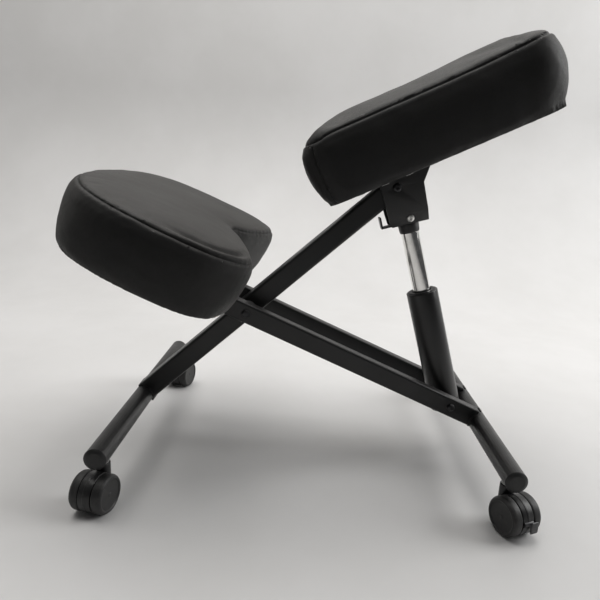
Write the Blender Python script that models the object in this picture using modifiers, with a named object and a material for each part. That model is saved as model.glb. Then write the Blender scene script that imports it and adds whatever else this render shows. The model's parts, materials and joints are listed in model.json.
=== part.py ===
"""Kneeling chair with a gas-lift X frame.

Metres, +Z up.  +X points to the rear of the chair, +Y to its left side.
The origin is on the floor, under the middle of the whole object.

Two rigid frames cross at one bolt.  The knee frame is a pair of rectangular
arms, the rear cross tube and the knee pad.  The seat beam is one wider
rectangular tube with the front cross tube.  A gas column swings between the
arms, its rod is held in the seat bracket, and the bracket is pinned to the
beam's top end, so the column's length sets the seat's height.
"""
import bpy
import bmesh
from math import radians, sin, cos, pi, atan2, sqrt, tan
from mathutils import Matrix, Vector

# ------------------------------------------------------------------ sizes
ORIGIN_X = 0.25045           # front cross tube to the middle of the object

GAP = 0.0003                 # between pieces that touch
WHEEL_BASE = 0.549           # front to rear cross tube
TUBE_R = 0.015               # cross tubes, 30 mm round
TUBE_WALL = 0.0016
TUBE_Z = 0.0785              # cross tube axis above the floor
TUBE_HALF = 0.2236           # half length without the end caps
CAP_DOME = 0.0042

BEAM_ANGLE = radians(42.90)
BEAM_W, BEAM_H, BEAM_WALL = 0.038, 0.032, 0.002
BEAM_LEN = 0.5425

ARM_ANGLE = radians(22.45)
ARM_W, ARM_H, ARM_WALL = 0.020, 0.030, 0.0016
ARM_IN = 0.0360              # arm's inner face from the middle plane
ARM_LEN = 0.632

PIVOT_X = (0.1700, 0.2387)   # X pivot: x from the front tube, z
PIVOT_LOW = (0.5011, 0.1030) # column's foot pivot
PIVOT_TOP = (0.3885, 0.4395) # bracket on the beam's top end

ROD_ANGLE = radians(17.09)   # column leans forward by this much
COLUMN_R, COLUMN_IN = 0.0250, 0.0225
COLUMN_LOW, COLUMN_TOP = -0.0215, 0.1836
ROD_R = 0.0140
ROD_LOW, ROD_TOP = 0.0960, 0.3120
HUB_LOW, HUB_TOP = 0.2815, 0.2960
BRACKET_LOW = 0.2963
BRACKET_BEND = 0.3140
BRACKET_OUT = 0.0255         # outer face of a side plate
PLATE = 0.0028
BRACKET_W = 0.0300           # half depth of the bracket

SEAT_ANGLE = radians(26.2)
SEAT_FRONT = (0.2806, 0.4163)  # front edge of the seat's underside
SEAT_LEN, SEAT_HALF = 0.3100, 0.2130
SEAT_CORNER = 0.038
SEAT_SIDE, SEAT_CROWN = 0.0805, 0.0165
KNEE_SIDE, KNEE_CROWN = 0.0860, 0.0120
BOARD = 0.012

WHEEL_R, WHEEL_IN, WHEEL_OUT = 0.0264, 0.0097, 0.0236
STEM_Y = 0.197
TRAIL = 0.020
HOOD_R, HOOD_HALF = 0.0268, 0.0089
PEDAL_R, PEDAL_DROP = 0.0250, radians(-4)   # brake pedal's pivot from the axle
# direction from a caster's axle to its stem, turned from +X about +Z
CASTER_TURN = {"front_near": radians(77.0), "front_far": radians(-104.0),
               "rear_near": radians(113.0), "rear_far": radians(-113.0)}

LEVER_S = 0.3290             # height of the release lever in the bracket
VALVE_TOP = 0.3244

# ------------------------------------------------------------------ scene
for ob in list(bpy.data.objects):
    bpy.data.objects.remove(ob, do_unlink=True)

PARTS = bpy.data.collections.new("kneeling_chair")
CUTTERS = bpy.data.collections.new("cutters")
bpy.context.scene.collection.children.link(PARTS)
bpy.context.scene.collection.children.link(CUTTERS)


def material(name, color, rough, metal=0.0):
    m = bpy.data.materials.new(name)
    m.use_nodes = True
    b = m.node_tree.nodes["Principled BSDF"]
    b.inputs["Base Color"].default_value = (*color, 1.0)
    b.inputs["Roughness"].default_value = rough
    b.inputs["Metallic"].default_value = metal
    m.diffuse_color = (*color, 1.0)
    return m


MAT = {
    "frame": ((0.018, 0.018, 0.019), 0.42, 0.0),
    "column": ((0.014, 0.014, 0.015), 0.36, 0.0),
    "bracket": ((0.016, 0.016, 0.017), 0.45, 0.0),
    "chrome": ((0.80, 0.79, 0.77), 0.12, 1.0),
    "zinc": ((0.62, 0.62, 0.60), 0.32, 1.0),
    "black_bolt": ((0.022, 0.022, 0.022), 0.40, 0.6),
    "nylon": ((0.013, 0.013, 0.014), 0.30, 0.0),
    "cap": ((0.016, 0.016, 0.016), 0.55, 0.0),
    "cover": ((0.020, 0.019, 0.019), 0.72, 0.0),
    "ply": ((0.42, 0.28, 0.16), 0.70, 0.0),
    "bush": ((0.05, 0.05, 0.05), 0.50, 0.0),
    "steel": ((0.45, 0.45, 0.45), 0.40, 1.0),
}


def finish(ob, name, kind, parent=None, smooth=30):
    """Name a piece, give it its own material and put it in the collection."""
    ob.name = name
    if ob.data is not None:
        ob.data.name = name + "_mesh"
        ob.data.materials.clear()
        ob.data.materials.append(material(name, *MAT[kind]))
    for c in list(ob.users_collection):
        c.objects.unlink(ob)
    PARTS.objects.link(ob)
    if parent is not None:
        ob.parent = parent
    if smooth and ob.type == 'MESH':
        ob.data.shade_smooth()
        ob.data.set_sharp_from_angle(angle=radians(smooth))
    return ob


def cutter(ob, parent=None):
    for c in list(ob.users_collection):
        c.objects.unlink(ob)
    CUTTERS.objects.link(ob)
    ob.hide_render = True
    ob.display_type = 'WIRE'
    if parent is not None:
        ob.parent = parent
    return ob


def empty(name, loc, rot=(0, 0, 0), parent=None):
    ob = bpy.data.objects.new(name, None)
    ob.empty_display_size = 0.02
    PARTS.objects.link(ob)
    ob.location = loc
    ob.rotation_euler = rot
    if parent is not None:
        ob.parent = parent
    return ob


def at(p, y=0.0):
    """A point given as (x from the front tube, z) in the object's frame."""
    return (p[0] - ORIGIN_X, y, p[1])


def cyl(r, length, loc=(0, 0, 0), axis='Z', sides=24, turn=0.0):
    rot = {'Z': (0, 0, turn), 'Y': (pi / 2, 0, turn), 'X': (0, pi / 2, turn)}[axis]
    bpy.ops.mesh.primitive_cylinder_add(vertices=sides, radius=r, depth=length,
                                        location=loc, rotation=rot)
    return bpy.context.object


def box(size, loc=(0, 0, 0), rot=(0, 0, 0)):
    bpy.ops.mesh.primitive_cube_add(size=1.0, location=loc, rotation=rot)
    ob = bpy.context.object
    for v in ob.data.vertices:
        v.co = Vector((v.co.x * size[0], v.co.y * size[1], v.co.z * size[2]))
    return ob


def boolean(ob, other, op='DIFFERENCE'):
    m = ob.modifiers.new(op.lower(), 'BOOLEAN')
    m.operation = op
    m.solver = 'EXACT'
    m.object = other
    return m


def bevel(ob, width, segments=2, angle=40):
    m = ob.modifiers.new("bevel", 'BEVEL')
    m.width = width
    m.segments = segments
    m.limit_method = 'ANGLE'
    m.angle_limit = radians(angle)
    return m


def rounded_rect(w, h, r, seg=2):
    pts = []
    for cx, cy, a0 in ((w / 2 - r, h / 2 - r, 0), (-w / 2 + r, h / 2 - r, 90),
                       (-w / 2 + r, -h / 2 + r, 180), (w / 2 - r, -h / 2 + r, 270)):
        for i in range(seg + 1):
            a = radians(a0 + 90 * i / seg)
            pts.append((cx + r * cos(a), cy + r * sin(a)))
    return pts


def outline_mesh(name, loops, depth):
    """Flat outlines (the second and later are holes) given a thickness.

    The outline is drawn as a filled 2D curve, and returned as a mesh with
    its caps welded, lying in its own XY plane and centred on z = 0.
    """
    cu = bpy.data.curves.new(name, 'CURVE')
    cu.dimensions = '2D'
    cu.fill_mode = 'BOTH'
    cu.extrude = depth / 2
    for pts in loops:
        sp = cu.splines.new('POLY')
        sp.points.add(len(pts) - 1)
        for p, q in zip(sp.points, pts):
            p.co = (q[0], q[1], 0, 1)
        sp.use_cyclic_u = True
    src = bpy.data.objects.new(name, cu)
    PARTS.objects.link(src)
    bpy.context.view_layer.update()
    dg = bpy.context.evaluated_depsgraph_get()
    me = bpy.data.meshes.new_from_object(src.evaluated_get(dg))
    bm = bmesh.new()
    bm.from_mesh(me)
    bmesh.ops.remove_doubles(bm, verts=bm.verts, dist=0.00001)
    bmesh.ops.recalc_face_normals(bm, faces=bm.faces)
    bm.to_mesh(me)
    bm.free()
    ob = bpy.data.objects.new(name, me)
    ob.matrix_world = src.matrix_world.copy()
    PARTS.objects.link(ob)
    bpy.data.objects.remove(src, do_unlink=True)
    return ob


def turned(name, profile, steps=32, closed=False, turn=0.0):
    """A profile of (radius, height) points, from the top down its outer side."""
    me = bpy.data.meshes.new(name)
    n = len(profile)
    edges = [(i, i + 1) for i in range(n - 1)] + ([(n - 1, 0)] if closed else [])
    co = [(r * cos(turn), r * sin(turn), z) for r, z in profile]
    me.from_pydata(co, edges, [])
    ob = bpy.data.objects.new(name, me)
    PARTS.objects.link(ob)
    s = ob.modifiers.new("turn", 'SCREW')
    s.axis = 'Z'
    s.angle = 2 * pi
    s.steps = steps
    s.render_steps = steps
    s.use_merge_vertices = True
    s.merge_threshold = 0.00001
    s.use_smooth_shade = True
    return ob


def ring(r_out, r_in, z0, z1, name, ch=0.0005, steps=24):
    return turned(name, [(r_out - ch, z1), (r_out, z1 - ch), (r_out, z0 + ch),
                         (r_out - ch, z0), (r_in, z0), (r_in, z1)], steps, True)


# ------------------------------------------------------- frames of the bodies
knee_frame = empty("knee_frame", at((WHEEL_BASE, TUBE_Z)), (0, ARM_ANGLE, 0))
beam_frame = empty("beam_frame", at(PIVOT_X), (0, -BEAM_ANGLE, 0))
column_frame = empty("column_frame", at(PIVOT_LOW), (0, -ROD_ANGLE, 0))
seat_frame = empty("seat_frame", at(SEAT_FRONT), (0, -SEAT_ANGLE, 0))
bpy.context.view_layer.update()

# distance along the beam from the front tube's axis to the X pivot
BEAM_TO_X = sqrt(PIVOT_X[0] ** 2 + (PIVOT_X[1] - TUBE_Z) ** 2)


def arm_pos(p):
    """Where a point (x, z) lies along the arms and above their axis."""
    dx, dz = p[0] - WHEEL_BASE, p[1] - TUBE_Z
    return (dx * cos(ARM_ANGLE) - dz * sin(ARM_ANGLE),
            dx * sin(ARM_ANGLE) + dz * cos(ARM_ANGLE))


def rod_pos(p):
    """Where a point (x, z) lies across and along the gas column."""
    dx, dz = p[0] - PIVOT_LOW[0], p[1] - PIVOT_LOW[1]
    return (dx * cos(ROD_ANGLE) + dz * sin(ROD_ANGLE),
            -dx * sin(ROD_ANGLE) + dz * cos(ROD_ANGLE))


XA, XN = arm_pos(PIVOT_X)
LA, LN = arm_pos(PIVOT_LOW)
TW, TS = rod_pos(PIVOT_TOP)

# ------------------------------------------------------------- cross tubes


def cross_tube(name, x):
    n = 28
    ri = TUBE_R - TUBE_WALL
    pts, inn = ([(r * cos(2 * pi * (i + .5) / n), r * sin(2 * pi * (i + .5) / n)) for i in range(n)] for r in (TUBE_R, ri))
    ob = outline_mesh(name, [pts, inn], 2 * TUBE_HALF)
    ob.location = at((x, TUBE_Z))
    ob.rotation_euler = (pi / 2, 0, 0)
    for sy in (-1, 1):
        hole = cutter(cyl(0.0060, 0.020, (x - ORIGIN_X, sy * STEM_Y, TUBE_Z - TUBE_R), sides=12))
        boolean(ob, hole)
    return finish(ob, name, "frame")


def end_cap(name, x, side):
    rp = TUBE_R - TUBE_WALL - GAP
    prof = [(0, CAP_DOME), (0.0080, CAP_DOME - 0.0006), (0.0126, CAP_DOME - 0.0022),
            (0.0152, GAP), (rp, GAP), (rp, -0.0135), (0.0, -0.0135)]
    ob = turned(name, prof, 24)
    ob.location = (x - ORIGIN_X, side * TUBE_HALF, TUBE_Z)
    ob.rotation_euler = (-side * pi / 2, 0, 0)
    return finish(ob, name, "cap", smooth=0)


cross_tube("front_cross_tube", 0.0)
cross_tube("rear_cross_tube", WHEEL_BASE)
for end, x in (("front", 0.0), ("rear", WHEEL_BASE)):
    end_cap(end + "_end_cap_near", x, -1)
    end_cap(end + "_end_cap_far", x, 1)

# ------------------------------------------------------------ the seat beam
tube_seat = cutter(cyl(TUBE_R + GAP + 0.0001, 0.12, at((0.0, TUBE_Z)), 'Y', 48))
beam = outline_mesh("main_beam", [rounded_rect(BEAM_H, BEAM_W, 0.0040)], BEAM_LEN - 0.0083)
beam.rotation_euler = (0, pi / 2, 0)
beam.location = (-BEAM_TO_X + (BEAM_LEN + 0.0083) / 2, 0, 0)
finish(beam, "main_beam", "frame", beam_frame)
boolean(beam, cutter(box((BEAM_LEN + 0.2, BEAM_W - 2 * BEAM_WALL, BEAM_H - 2 * BEAM_WALL), (0.15, 0, 0)), beam_frame))
boolean(beam, tube_seat)
boolean(beam, cutter(cyl(0.0083, 0.06, (0, 0, 0), 'Y', 24), beam_frame))
top_along = sqrt((PIVOT_TOP[0] - PIVOT_X[0]) ** 2 + (PIVOT_TOP[1] - PIVOT_X[1]) ** 2)
boolean(beam, cutter(cyl(0.0082, 0.06, (top_along, 0, 0), 'Y', 24), beam_frame))

# --------------------------------------------------------- the knee frame
rear_seat = cutter(cyl(TUBE_R + GAP + 0.0001, 0.16, at((WHEEL_BASE, TUBE_Z)), 'Y', 48))
for name, side in (("arm_near", -1), ("arm_far", 1)):
    arm = outline_mesh(name, [rounded_rect(ARM_H, ARM_W, 0.0030)], ARM_LEN - 0.0087)
    arm.rotation_euler = (0, pi / 2, 0)
    arm.location = (-(ARM_LEN + 0.0087) / 2, side * (ARM_IN + ARM_W / 2), XN)
    finish(arm, name, "frame", knee_frame)
    boolean(arm, cutter(box((ARM_LEN + 0.2, ARM_W - 2 * ARM_WALL, ARM_H - 2 * ARM_WALL),
                            (-ARM_LEN / 2, side * (ARM_IN + ARM_W / 2), XN)), knee_frame))
    boolean(arm, rear_seat)
    for along, up in ((XA, XN), (LA, LN)):
        boolean(arm, cutter(cyl(0.0043, 0.05, (along, side * (ARM_IN + ARM_W / 2), up), 'Y', 20), knee_frame))
    plug = box((0.020, ARM_W - 2 * ARM_WALL - 2 * GAP, ARM_H - 2 * ARM_WALL - 2 * GAP),
               (-ARM_LEN + 0.0085, side * (ARM_IN + ARM_W / 2), XN))
    lip = box((0.003, ARM_W - 0.0004, ARM_H - 0.0004),
              (-ARM_LEN - 0.0018, side * (ARM_IN + ARM_W / 2), XN))
    bevel(lip, 0.0012, 2)
    finish(plug, "arm_plug_" + name[4:], "cap", knee_frame)
    boolean(plug, cutter(lip, knee_frame), 'UNION')


def bolt(name, parent, loc, y_head, y_end, kind, head_r=0.0065, head_h=0.0042, r=0.0040, hexagon=False):
    """A bolt lying along Y, its head on the near side."""
    x, z = loc
    length = y_end - y_head
    prof = [(0, head_h), (head_r * 0.55, head_h * 0.96), (head_r * 0.85, head_h * 0.66), (head_r, head_h * 0.2),
            (head_r, 0), (r, 0), (r, -length + 0.0006), (r - 0.0006, -length), (0, -length)]
    ob = turned(name, prof, 20)
    ob.location = (x, y_head, z)
    ob.rotation_euler = (pi / 2, 0, 0)
    finish(ob, name, kind, parent, smooth=0)
    if hexagon:
        boolean(ob, cutter(cyl(0.0026, 0.006, (x, y_head - head_h, z), 'Y', 6), parent))
    return ob


def nut(name, parent, loc, y0, kind, across=0.0130, h=0.0065, r=0.0040):
    x, z = loc
    ob = cyl(across / sqrt(3), h, (x, y0 + h / 2, z), 'Y', 6)
    bevel(ob, 0.0006, 1, 50)
    finish(ob, name, kind, parent)
    boolean(ob, cutter(cyl(r + GAP, h * 2, (x, y0 + h / 2, z), 'Y', 20), parent))
    return ob


ARM_OUT = ARM_IN + ARM_W
bolt("x_pivot_bolt", knee_frame, (XA, XN), -ARM_OUT - GAP, ARM_OUT + 0.0085, "black_bolt")
nut("x_pivot_nut", knee_frame, (XA, XN), ARM_OUT + GAP, "black_bolt")
bolt("lower_pivot_bolt", knee_frame, (LA, LN), -ARM_OUT - GAP, ARM_OUT + 0.0085, "black_bolt", 0.0062)
nut("lower_pivot_nut", knee_frame, (LA, LN), ARM_OUT + GAP, "black_bolt")


def along_y(ob, parent, loc):
    ob.location = loc
    ob.rotation_euler = (pi / 2, 0, 0)
    ob.parent = parent
    return ob


half = ARM_IN - GAP
finish(along_y(ring(0.0080, 0.0043, -half, half, "x_pivot_sleeve"), knee_frame, (XA, 0, XN)),
       "x_pivot_sleeve", "steel", knee_frame, 0)
finish(along_y(ring(0.0060, 0.0043, -half, half, "lower_pivot_sleeve"), knee_frame, (LA, 0, LN)),
       "lower_pivot_sleeve", "steel", knee_frame, 0)
for name, side in (("pivot_spacer_near", -1), ("pivot_spacer_far", 1)):
    lo, hi = BEAM_W / 2 + 0.0004, ARM_IN - GAP
    z0, z1 = (lo, hi) if side < 0 else (-hi, -lo)
    finish(along_y(ring(0.0120, 0.0083, z0, z1, name), knee_frame, (XA, 0, XN)), name, "bush", knee_frame, 0)

# --------------------------------------------------------------- gas column
col = turned("gas_column", [(COLUMN_R - 0.0012, COLUMN_TOP), (COLUMN_R, COLUMN_TOP - 0.0012),
                            (COLUMN_R, COLUMN_LOW + 0.001), (COLUMN_R - 0.001, COLUMN_LOW),
                            (COLUMN_IN, COLUMN_LOW), (COLUMN_IN, COLUMN_TOP)], 32, True)
finish(col, "gas_column", "column", column_frame, 0)
boolean(col, cutter(cyl(0.0064, 0.08, (0, 0, 0), 'Y', 24), column_frame))
foot = turned("column_foot_plug", [(0, 0.0130), (COLUMN_IN - GAP, 0.0130), (COLUMN_IN - GAP, COLUMN_LOW + 0.0008),
                                   (0, COLUMN_LOW + 0.0008)], 28)
finish(foot, "column_foot_plug", "steel", column_frame, 0)
boolean(foot, cutter(cyl(0.0064, 0.08, (0, 0, 0), 'Y', 24), column_frame))
bush = turned("column_guide_bush", [(ROD_R + 0.0032, COLUMN_TOP + 0.0014), (COLUMN_IN + 0.0012, COLUMN_TOP + 0.0014),
                                    (COLUMN_IN + 0.0012, COLUMN_TOP + GAP), (COLUMN_IN - GAP, COLUMN_TOP + GAP),
                                    (COLUMN_IN - GAP, COLUMN_TOP - 0.040), (ROD_R + GAP, COLUMN_TOP - 0.040),
                                    (ROD_R + GAP, COLUMN_TOP - 0.001)], 32, True)
finish(bush, "column_guide_bush", "bush", column_frame, 0)

# ------------------------------------------------- rod, hub and seat bracket
rod = turned("gas_rod", [(0, ROD_TOP), (0.0118, ROD_TOP), (0.0130, ROD_TOP - 0.0012), (ROD_R, ROD_TOP - 0.0200),
                         (ROD_R, ROD_LOW + 0.001), (ROD_R - 0.001, ROD_LOW), (0, ROD_LOW)], 32)
finish(rod, "gas_rod", "chrome", column_frame, 0)
boolean(rod, cutter(cyl(0.0038, 0.016, (0, 0, ROD_TOP), 'Z', 16), column_frame))
hub = turned("taper_hub", [(0.0166, HUB_TOP), (0.0160, HUB_LOW + 0.001), (0.0152, HUB_LOW), (ROD_R + GAP, HUB_LOW),
                           (ROD_R + GAP, HUB_TOP)], 32, True)
finish(hub, "taper_hub", "bracket", column_frame, 0)
pin = turned("valve_pin", [(0, VALVE_TOP), (0.0024, VALVE_TOP), (0.0034, VALVE_TOP - 0.0010), (0.0034, ROD_TOP - 0.0035),
                           (0, ROD_TOP - 0.0035)], 16)
finish(pin, "valve_pin", "steel", column_frame, 0)

# folded channel: its section lies across the chair, tapered in at the bottom
o, i_, b = BRACKET_OUT, BRACKET_OUT - PLATE, 0.0178
lo, bend, hi = BRACKET_LOW, BRACKET_BEND, 0.46
sec = [(-o, hi), (-o, bend), (-b, lo), (b, lo), (o, bend), (o, hi),
       (i_, hi), (i_, bend + 0.0008), (b - 0.0014, lo + PLATE), (-b + 0.0014, lo + PLATE), (-i_, bend + 0.0008), (-i_, hi)]
channel = outline_mesh("seat_bracket", [[(x, y) for x, y in sec]], 0.16)
channel.rotation_euler = (pi / 2, 0, pi / 2)
finish(channel, "seat_bracket", "bracket", column_frame, 0)
# side view of the plates: lower corners clipped, a gusset at the rear under the seat
sx, sz = rod_pos(SEAT_FRONT)
tilt = SEAT_ANGLE - ROD_ANGLE


def under_seat(w, drop):
    """Height along the column of a line under the seat's underside."""
    return sz + (w - sx) * tan(tilt) - drop / cos(tilt)


drop = 0.0036
side_view = [(-BRACKET_W, lo - 0.001 + 0.004), (-BRACKET_W + 0.004, lo - 0.001), (BRACKET_W, lo - 0.001), (BRACKET_W + 0.002, 0.3540),
             (0.0450, 0.3740), (0.0475, under_seat(0.0475, drop)),
             (-BRACKET_W - 0.006, under_seat(-BRACKET_W - 0.006, drop)), (-BRACKET_W - 0.003, 0.352)]
side = outline_mesh("bracket_side_view", [side_view], 0.12)
side.rotation_euler = (pi / 2, 0, 0)
cutter(side, column_frame)
boolean(channel, side, 'INTERSECT')
# lip of the bottom wall, turned up in front of the bracket
lip_view = [(-0.0430, lo + 0.0006), (-0.0260, lo + 0.0006), (-0.0260, lo + 0.0026), (-0.0405, lo + 0.0026),
            (-0.0405, 0.3150), (-0.0430, 0.3150)]
lip = outline_mesh("bracket_lip", [lip_view], 0.022)
lip.rotation_euler = (pi / 2, 0, 0)
cutter(lip, column_frame)
boolean(channel, lip, 'UNION')
boolean(channel, cutter(cyl(ROD_R + GAP + 0.0001, 0.02, (0, 0, lo), 'Z', 36), column_frame))
boolean(channel, cutter(cyl(0.0043, 0.10, (TW, 0, TS), 'Y', 20), column_frame))
boolean(channel, cutter(box((0.018, 0.02, 0.020), (0.0, BRACKET_OUT - 0.001, LEVER_S + 0.0035)), column_frame))
boolean(channel, cutter(cyl(0.0034, 0.012, (0.0023, -0.0250, 0.3035), 'Y', 16), column_frame))

bolt("bracket_bolt", column_frame, (TW, TS), -BRACKET_OUT - GAP, BRACKET_OUT + 0.0085, "black_bolt", 0.0070, 0.0036,
     0.0040, True)
nut("bracket_nut", column_frame, (TW, TS), BRACKET_OUT + GAP, "black_bolt")
for name, side_ in (("bracket_washer_near", -1), ("bracket_washer_far", 1)):
    a0, a1 = BEAM_W / 2 + 0.0005, BRACKET_OUT - PLATE - GAP
    z0, z1 = (a0, a1) if side_ < 0 else (-a1, -a0)
    finish(along_y(ring(0.0105, 0.0043, z0, z1, name, 0.0003), column_frame, (TW, 0, TS)), name, "bush", column_frame, 0)

# bright screw low on the near plate, square to the tapered bottom
slope = atan2(BRACKET_BEND - BRACKET_LOW, BRACKET_OUT - b)
screw = turned("clamp_screw", [(0, 0.0034), (0.0030, 0.0032), (0.0052, 0.0022), (0.0060, 0.0006), (0.0060, GAP + 0.0001),
                               (0.0029, GAP + 0.0001), (0.0029, -0.0070), (0, -0.0070)], 20)
mid_y = -(BRACKET_OUT + b) / 2
mid_s = (BRACKET_BEND + BRACKET_LOW) / 2
screw.location = (0.0023, mid_y, mid_s)
screw.rotation_euler = (pi / 2 + (pi / 2 - slope), 0, 0)
finish(screw, "clamp_screw", "zinc", column_frame, 0)
screw_hole = cutter(cyl(0.0033, 0.020, (0.0023, mid_y, mid_s)), column_frame)
screw_hole.rotation_euler = (pi / 2 + (pi / 2 - slope), 0, 0)
boolean(channel, screw_hole)
boolean(screw, cutter(cyl(0.0024, 0.0040, (0.0023, mid_y - 0.0034 * sin(slope), mid_s - 0.0034 * cos(slope)), 'Y', 6),
                      column_frame))

# release lever: a bent rod through the far plate, its inner end over the valve
pts = [(0, -0.0045, LEVER_S), (0, 0.030, LEVER_S), (0, 0.046, LEVER_S - 0.001), (0.001, 0.060, LEVER_S - 0.005),
       (0.002, 0.078, LEVER_S - 0.011), (0.0025, 0.094, LEVER_S - 0.014), (0.0025, 0.124, LEVER_S - 0.0150),
       (0.0025, 0.172, LEVER_S - 0.0150)]
cu = bpy.data.curves.new("release_lever", 'CURVE')
cu.dimensions = '3D'
cu.bevel_depth = 0.0038
cu.bevel_resolution = 2
cu.use_fill_caps = True
sp = cu.splines.new('POLY')
sp.points.add(len(pts) - 1)
for p, q in zip(sp.points, pts):
    p.co = (*q, 1)
lever = bpy.data.objects.new("release_lever", cu)
PARTS.objects.link(lever)
finish(lever, "release_lever", "black_bolt", column_frame)
grip = box((0.024, 0.062, 0.0130), (0.0025, 0.1560, LEVER_S - 0.0150))
bevel(grip, 0.0046, 3)
finish(grip, "lever_grip", "nylon", column_frame)
grip_bore = cutter(cyl(0.0038 + GAP, 0.058, (0.0025, 0.1560 - 0.0075, LEVER_S - 0.0150), 'Y', 16), column_frame)
boolean(grip, grip_bore)

# ------------------------------------------------------------------ cushions


def offset(pts, d):
    """A closed outline moved inwards by d."""
    out = []
    n = len(pts)
    for k in range(n):
        a, c = Vector(pts[k - 1]), Vector(pts[(k + 1) % n])
        t = (c - a).normalized()
        out.append((pts[k][0] - t.y * d, pts[k][1] + t.x * d))
    return out


def smooth_loop(ctrl, per):
    """Catmull-Rom through a closed list of points."""
    out = []
    n = len(ctrl)
    for k in range(n):
        p0, p1, p2, p3 = (Vector(ctrl[(k + j - 1) % n]) for j in range(4))
        for i in range(per):
            t = i / per
            q = 0.5 * ((2 * p1) + (p2 - p0) * t + (2 * p0 - 5 * p1 + 4 * p2 - p3) * t * t
                       + (3 * p1 - p0 - 3 * p2 + p3) * t ** 3)
            out.append((q.x, q.y))
    return out


def cushion(name, outline, side, crown, parent):
    """Foam and cover as one closed form over its board.

    The outline face is drawn up through a rounded side and a low crown; the
    board's pocket is cut from below.
    """
    levels = [(GAP, 0.0040), (0.0080, 0.0000), (side * 0.42, -0.0055), (side - 0.018, -0.0035),
              (side - 0.005, 0.0035), (side, 0.0110), (side + crown * 0.7, 0.0480)]
    bm = bmesh.new()
    face = bm.faces.new([bm.verts.new((x, y, levels[0][0])) for x, y in offset(outline, levels[0][1])])
    top = face
    base = face
    for z, d in levels[1:]:
        new = bmesh.ops.extrude_face_region(bm, geom=[top])
        faces = [g for g in new["geom"] if isinstance(g, bmesh.types.BMFace)]
        if top is not base:
            bmesh.ops.delete(bm, geom=[top], context='FACES_ONLY')
        top = faces[0]
        ring_pts = offset(outline, d)
        verts = list(top.verts)
        for v, (x, y) in zip(verts, ring_pts):
            v.co = Vector((x, y, z))
    poke = bmesh.ops.poke(bm, faces=[top])
    poke["verts"][0].co.z = side + crown
    bmesh.ops.recalc_face_normals(bm, faces=bm.faces)
    me = bpy.data.meshes.new(name)
    bm.to_mesh(me)
    bm.free()
    ob = bpy.data.objects.new(name, me)
    PARTS.objects.link(ob)
    finish(ob, name, "cover", parent, 40)
    pocket = outline_mesh(name + "_pocket", [offset(outline, 0.0096)], 0.030)
    pocket.location = (0, 0, BOARD + 2 * GAP - 0.015)
    boolean(ob, cutter(pocket, parent))
    return ob


def board(name, outline, parent):
    ob = outline_mesh(name, [offset(outline, 0.0100)], BOARD)
    ob.location = (0, 0, BOARD / 2 + GAP)
    return finish(ob, name, "ply", parent)


# seat: a rounded rectangle, a little fuller in the middle of each side
seat_outline = []
corners = ((SEAT_LEN - SEAT_CORNER, SEAT_HALF - SEAT_CORNER, 0), (SEAT_CORNER, SEAT_HALF - SEAT_CORNER, 90),
           (SEAT_CORNER, -SEAT_HALF + SEAT_CORNER, 180), (SEAT_LEN - SEAT_CORNER, -SEAT_HALF + SEAT_CORNER, 270))
for k, (cx, cy, a0) in enumerate(corners):
    arc = [(cx + SEAT_CORNER * cos(radians(a0 + 18 * i)), cy + SEAT_CORNER * sin(radians(a0 + 18 * i))) for i in range(6)]
    nx, ny, a1 = corners[(k + 1) % 4]
    end = (nx + SEAT_CORNER * cos(radians(a1)), ny + SEAT_CORNER * sin(radians(a1)))
    out = Vector((cos(radians(a1)), sin(radians(a1))))
    seat_outline += arc
    for i in range(1, 4):
        t = i / 4
        q = Vector(arc[-1]).lerp(Vector(end), t) + out * 0.0032 * 4 * t * (1 - t)
        seat_outline.append((q.x, q.y))
cushion("seat_cushion", seat_outline, SEAT_SIDE, SEAT_CROWN, seat_frame)
board("seat_board", seat_outline, seat_frame)
TOP_E = ((PIVOT_TOP[0] - SEAT_FRONT[0]) * cos(SEAT_ANGLE) + (PIVOT_TOP[1] - SEAT_FRONT[1]) * sin(SEAT_ANGLE))
plate = box((0.165, 0.150, 0.0030), (TOP_E + 0.026, 0, -0.0018))
bevel(plate, 0.0006, 1)
finish(plate, "seat_mount_plate", "bracket", seat_frame)

# knee pad: kidney outline with a wide notch towards the seat.  Its frame lies
# on top of the arms; x runs down them.
KNEE_X = 0.0887
knee_top = TUBE_Z + (XN + ARM_H / 2 + (WHEEL_BASE - KNEE_X) * sin(ARM_ANGLE)) / cos(ARM_ANGLE)
pad_frame = empty("pad_frame", at((KNEE_X, knee_top)), (0, ARM_ANGLE, 0))
half_ctrl = [(-0.193, 0.0), (-0.190, 0.070), (-0.178, 0.139), (-0.146, 0.194), (-0.092, 0.221), (-0.036, 0.230),
             (0.014, 0.227), (0.050, 0.211), (0.071, 0.178), (0.073, 0.138), (0.061, 0.092), (0.044, 0.046),
             (0.026, 0.0)]
knee_ctrl = half_ctrl + [(x, -y) for x, y in reversed(half_ctrl[1:-1])]
knee_ctrl = list(reversed(knee_ctrl))
knee_outline = smooth_loop(knee_ctrl, 2)
cushion("knee_cushion", knee_outline, KNEE_SIDE, KNEE_CROWN, pad_frame)
board("knee_board", knee_outline, pad_frame)

# ------------------------------------------------------------------ casters
SIDES = 28
NECK_TOP = TUBE_Z - TUBE_R - 0.0038
wheel_turn = pi / SIDES
in_r = WHEEL_R / cos(pi / SIDES)        # flats of the tread lie at the wheel's radius
wheel_profile = [(0, WHEEL_OUT), (in_r - 0.0025, WHEEL_OUT), (in_r, WHEEL_OUT - 0.0030), (in_r, WHEEL_IN),
                 (0.0033, WHEEL_IN), (0.0033, WHEEL_OUT - 0.0034), (0, WHEEL_OUT - 0.0034)]


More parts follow.
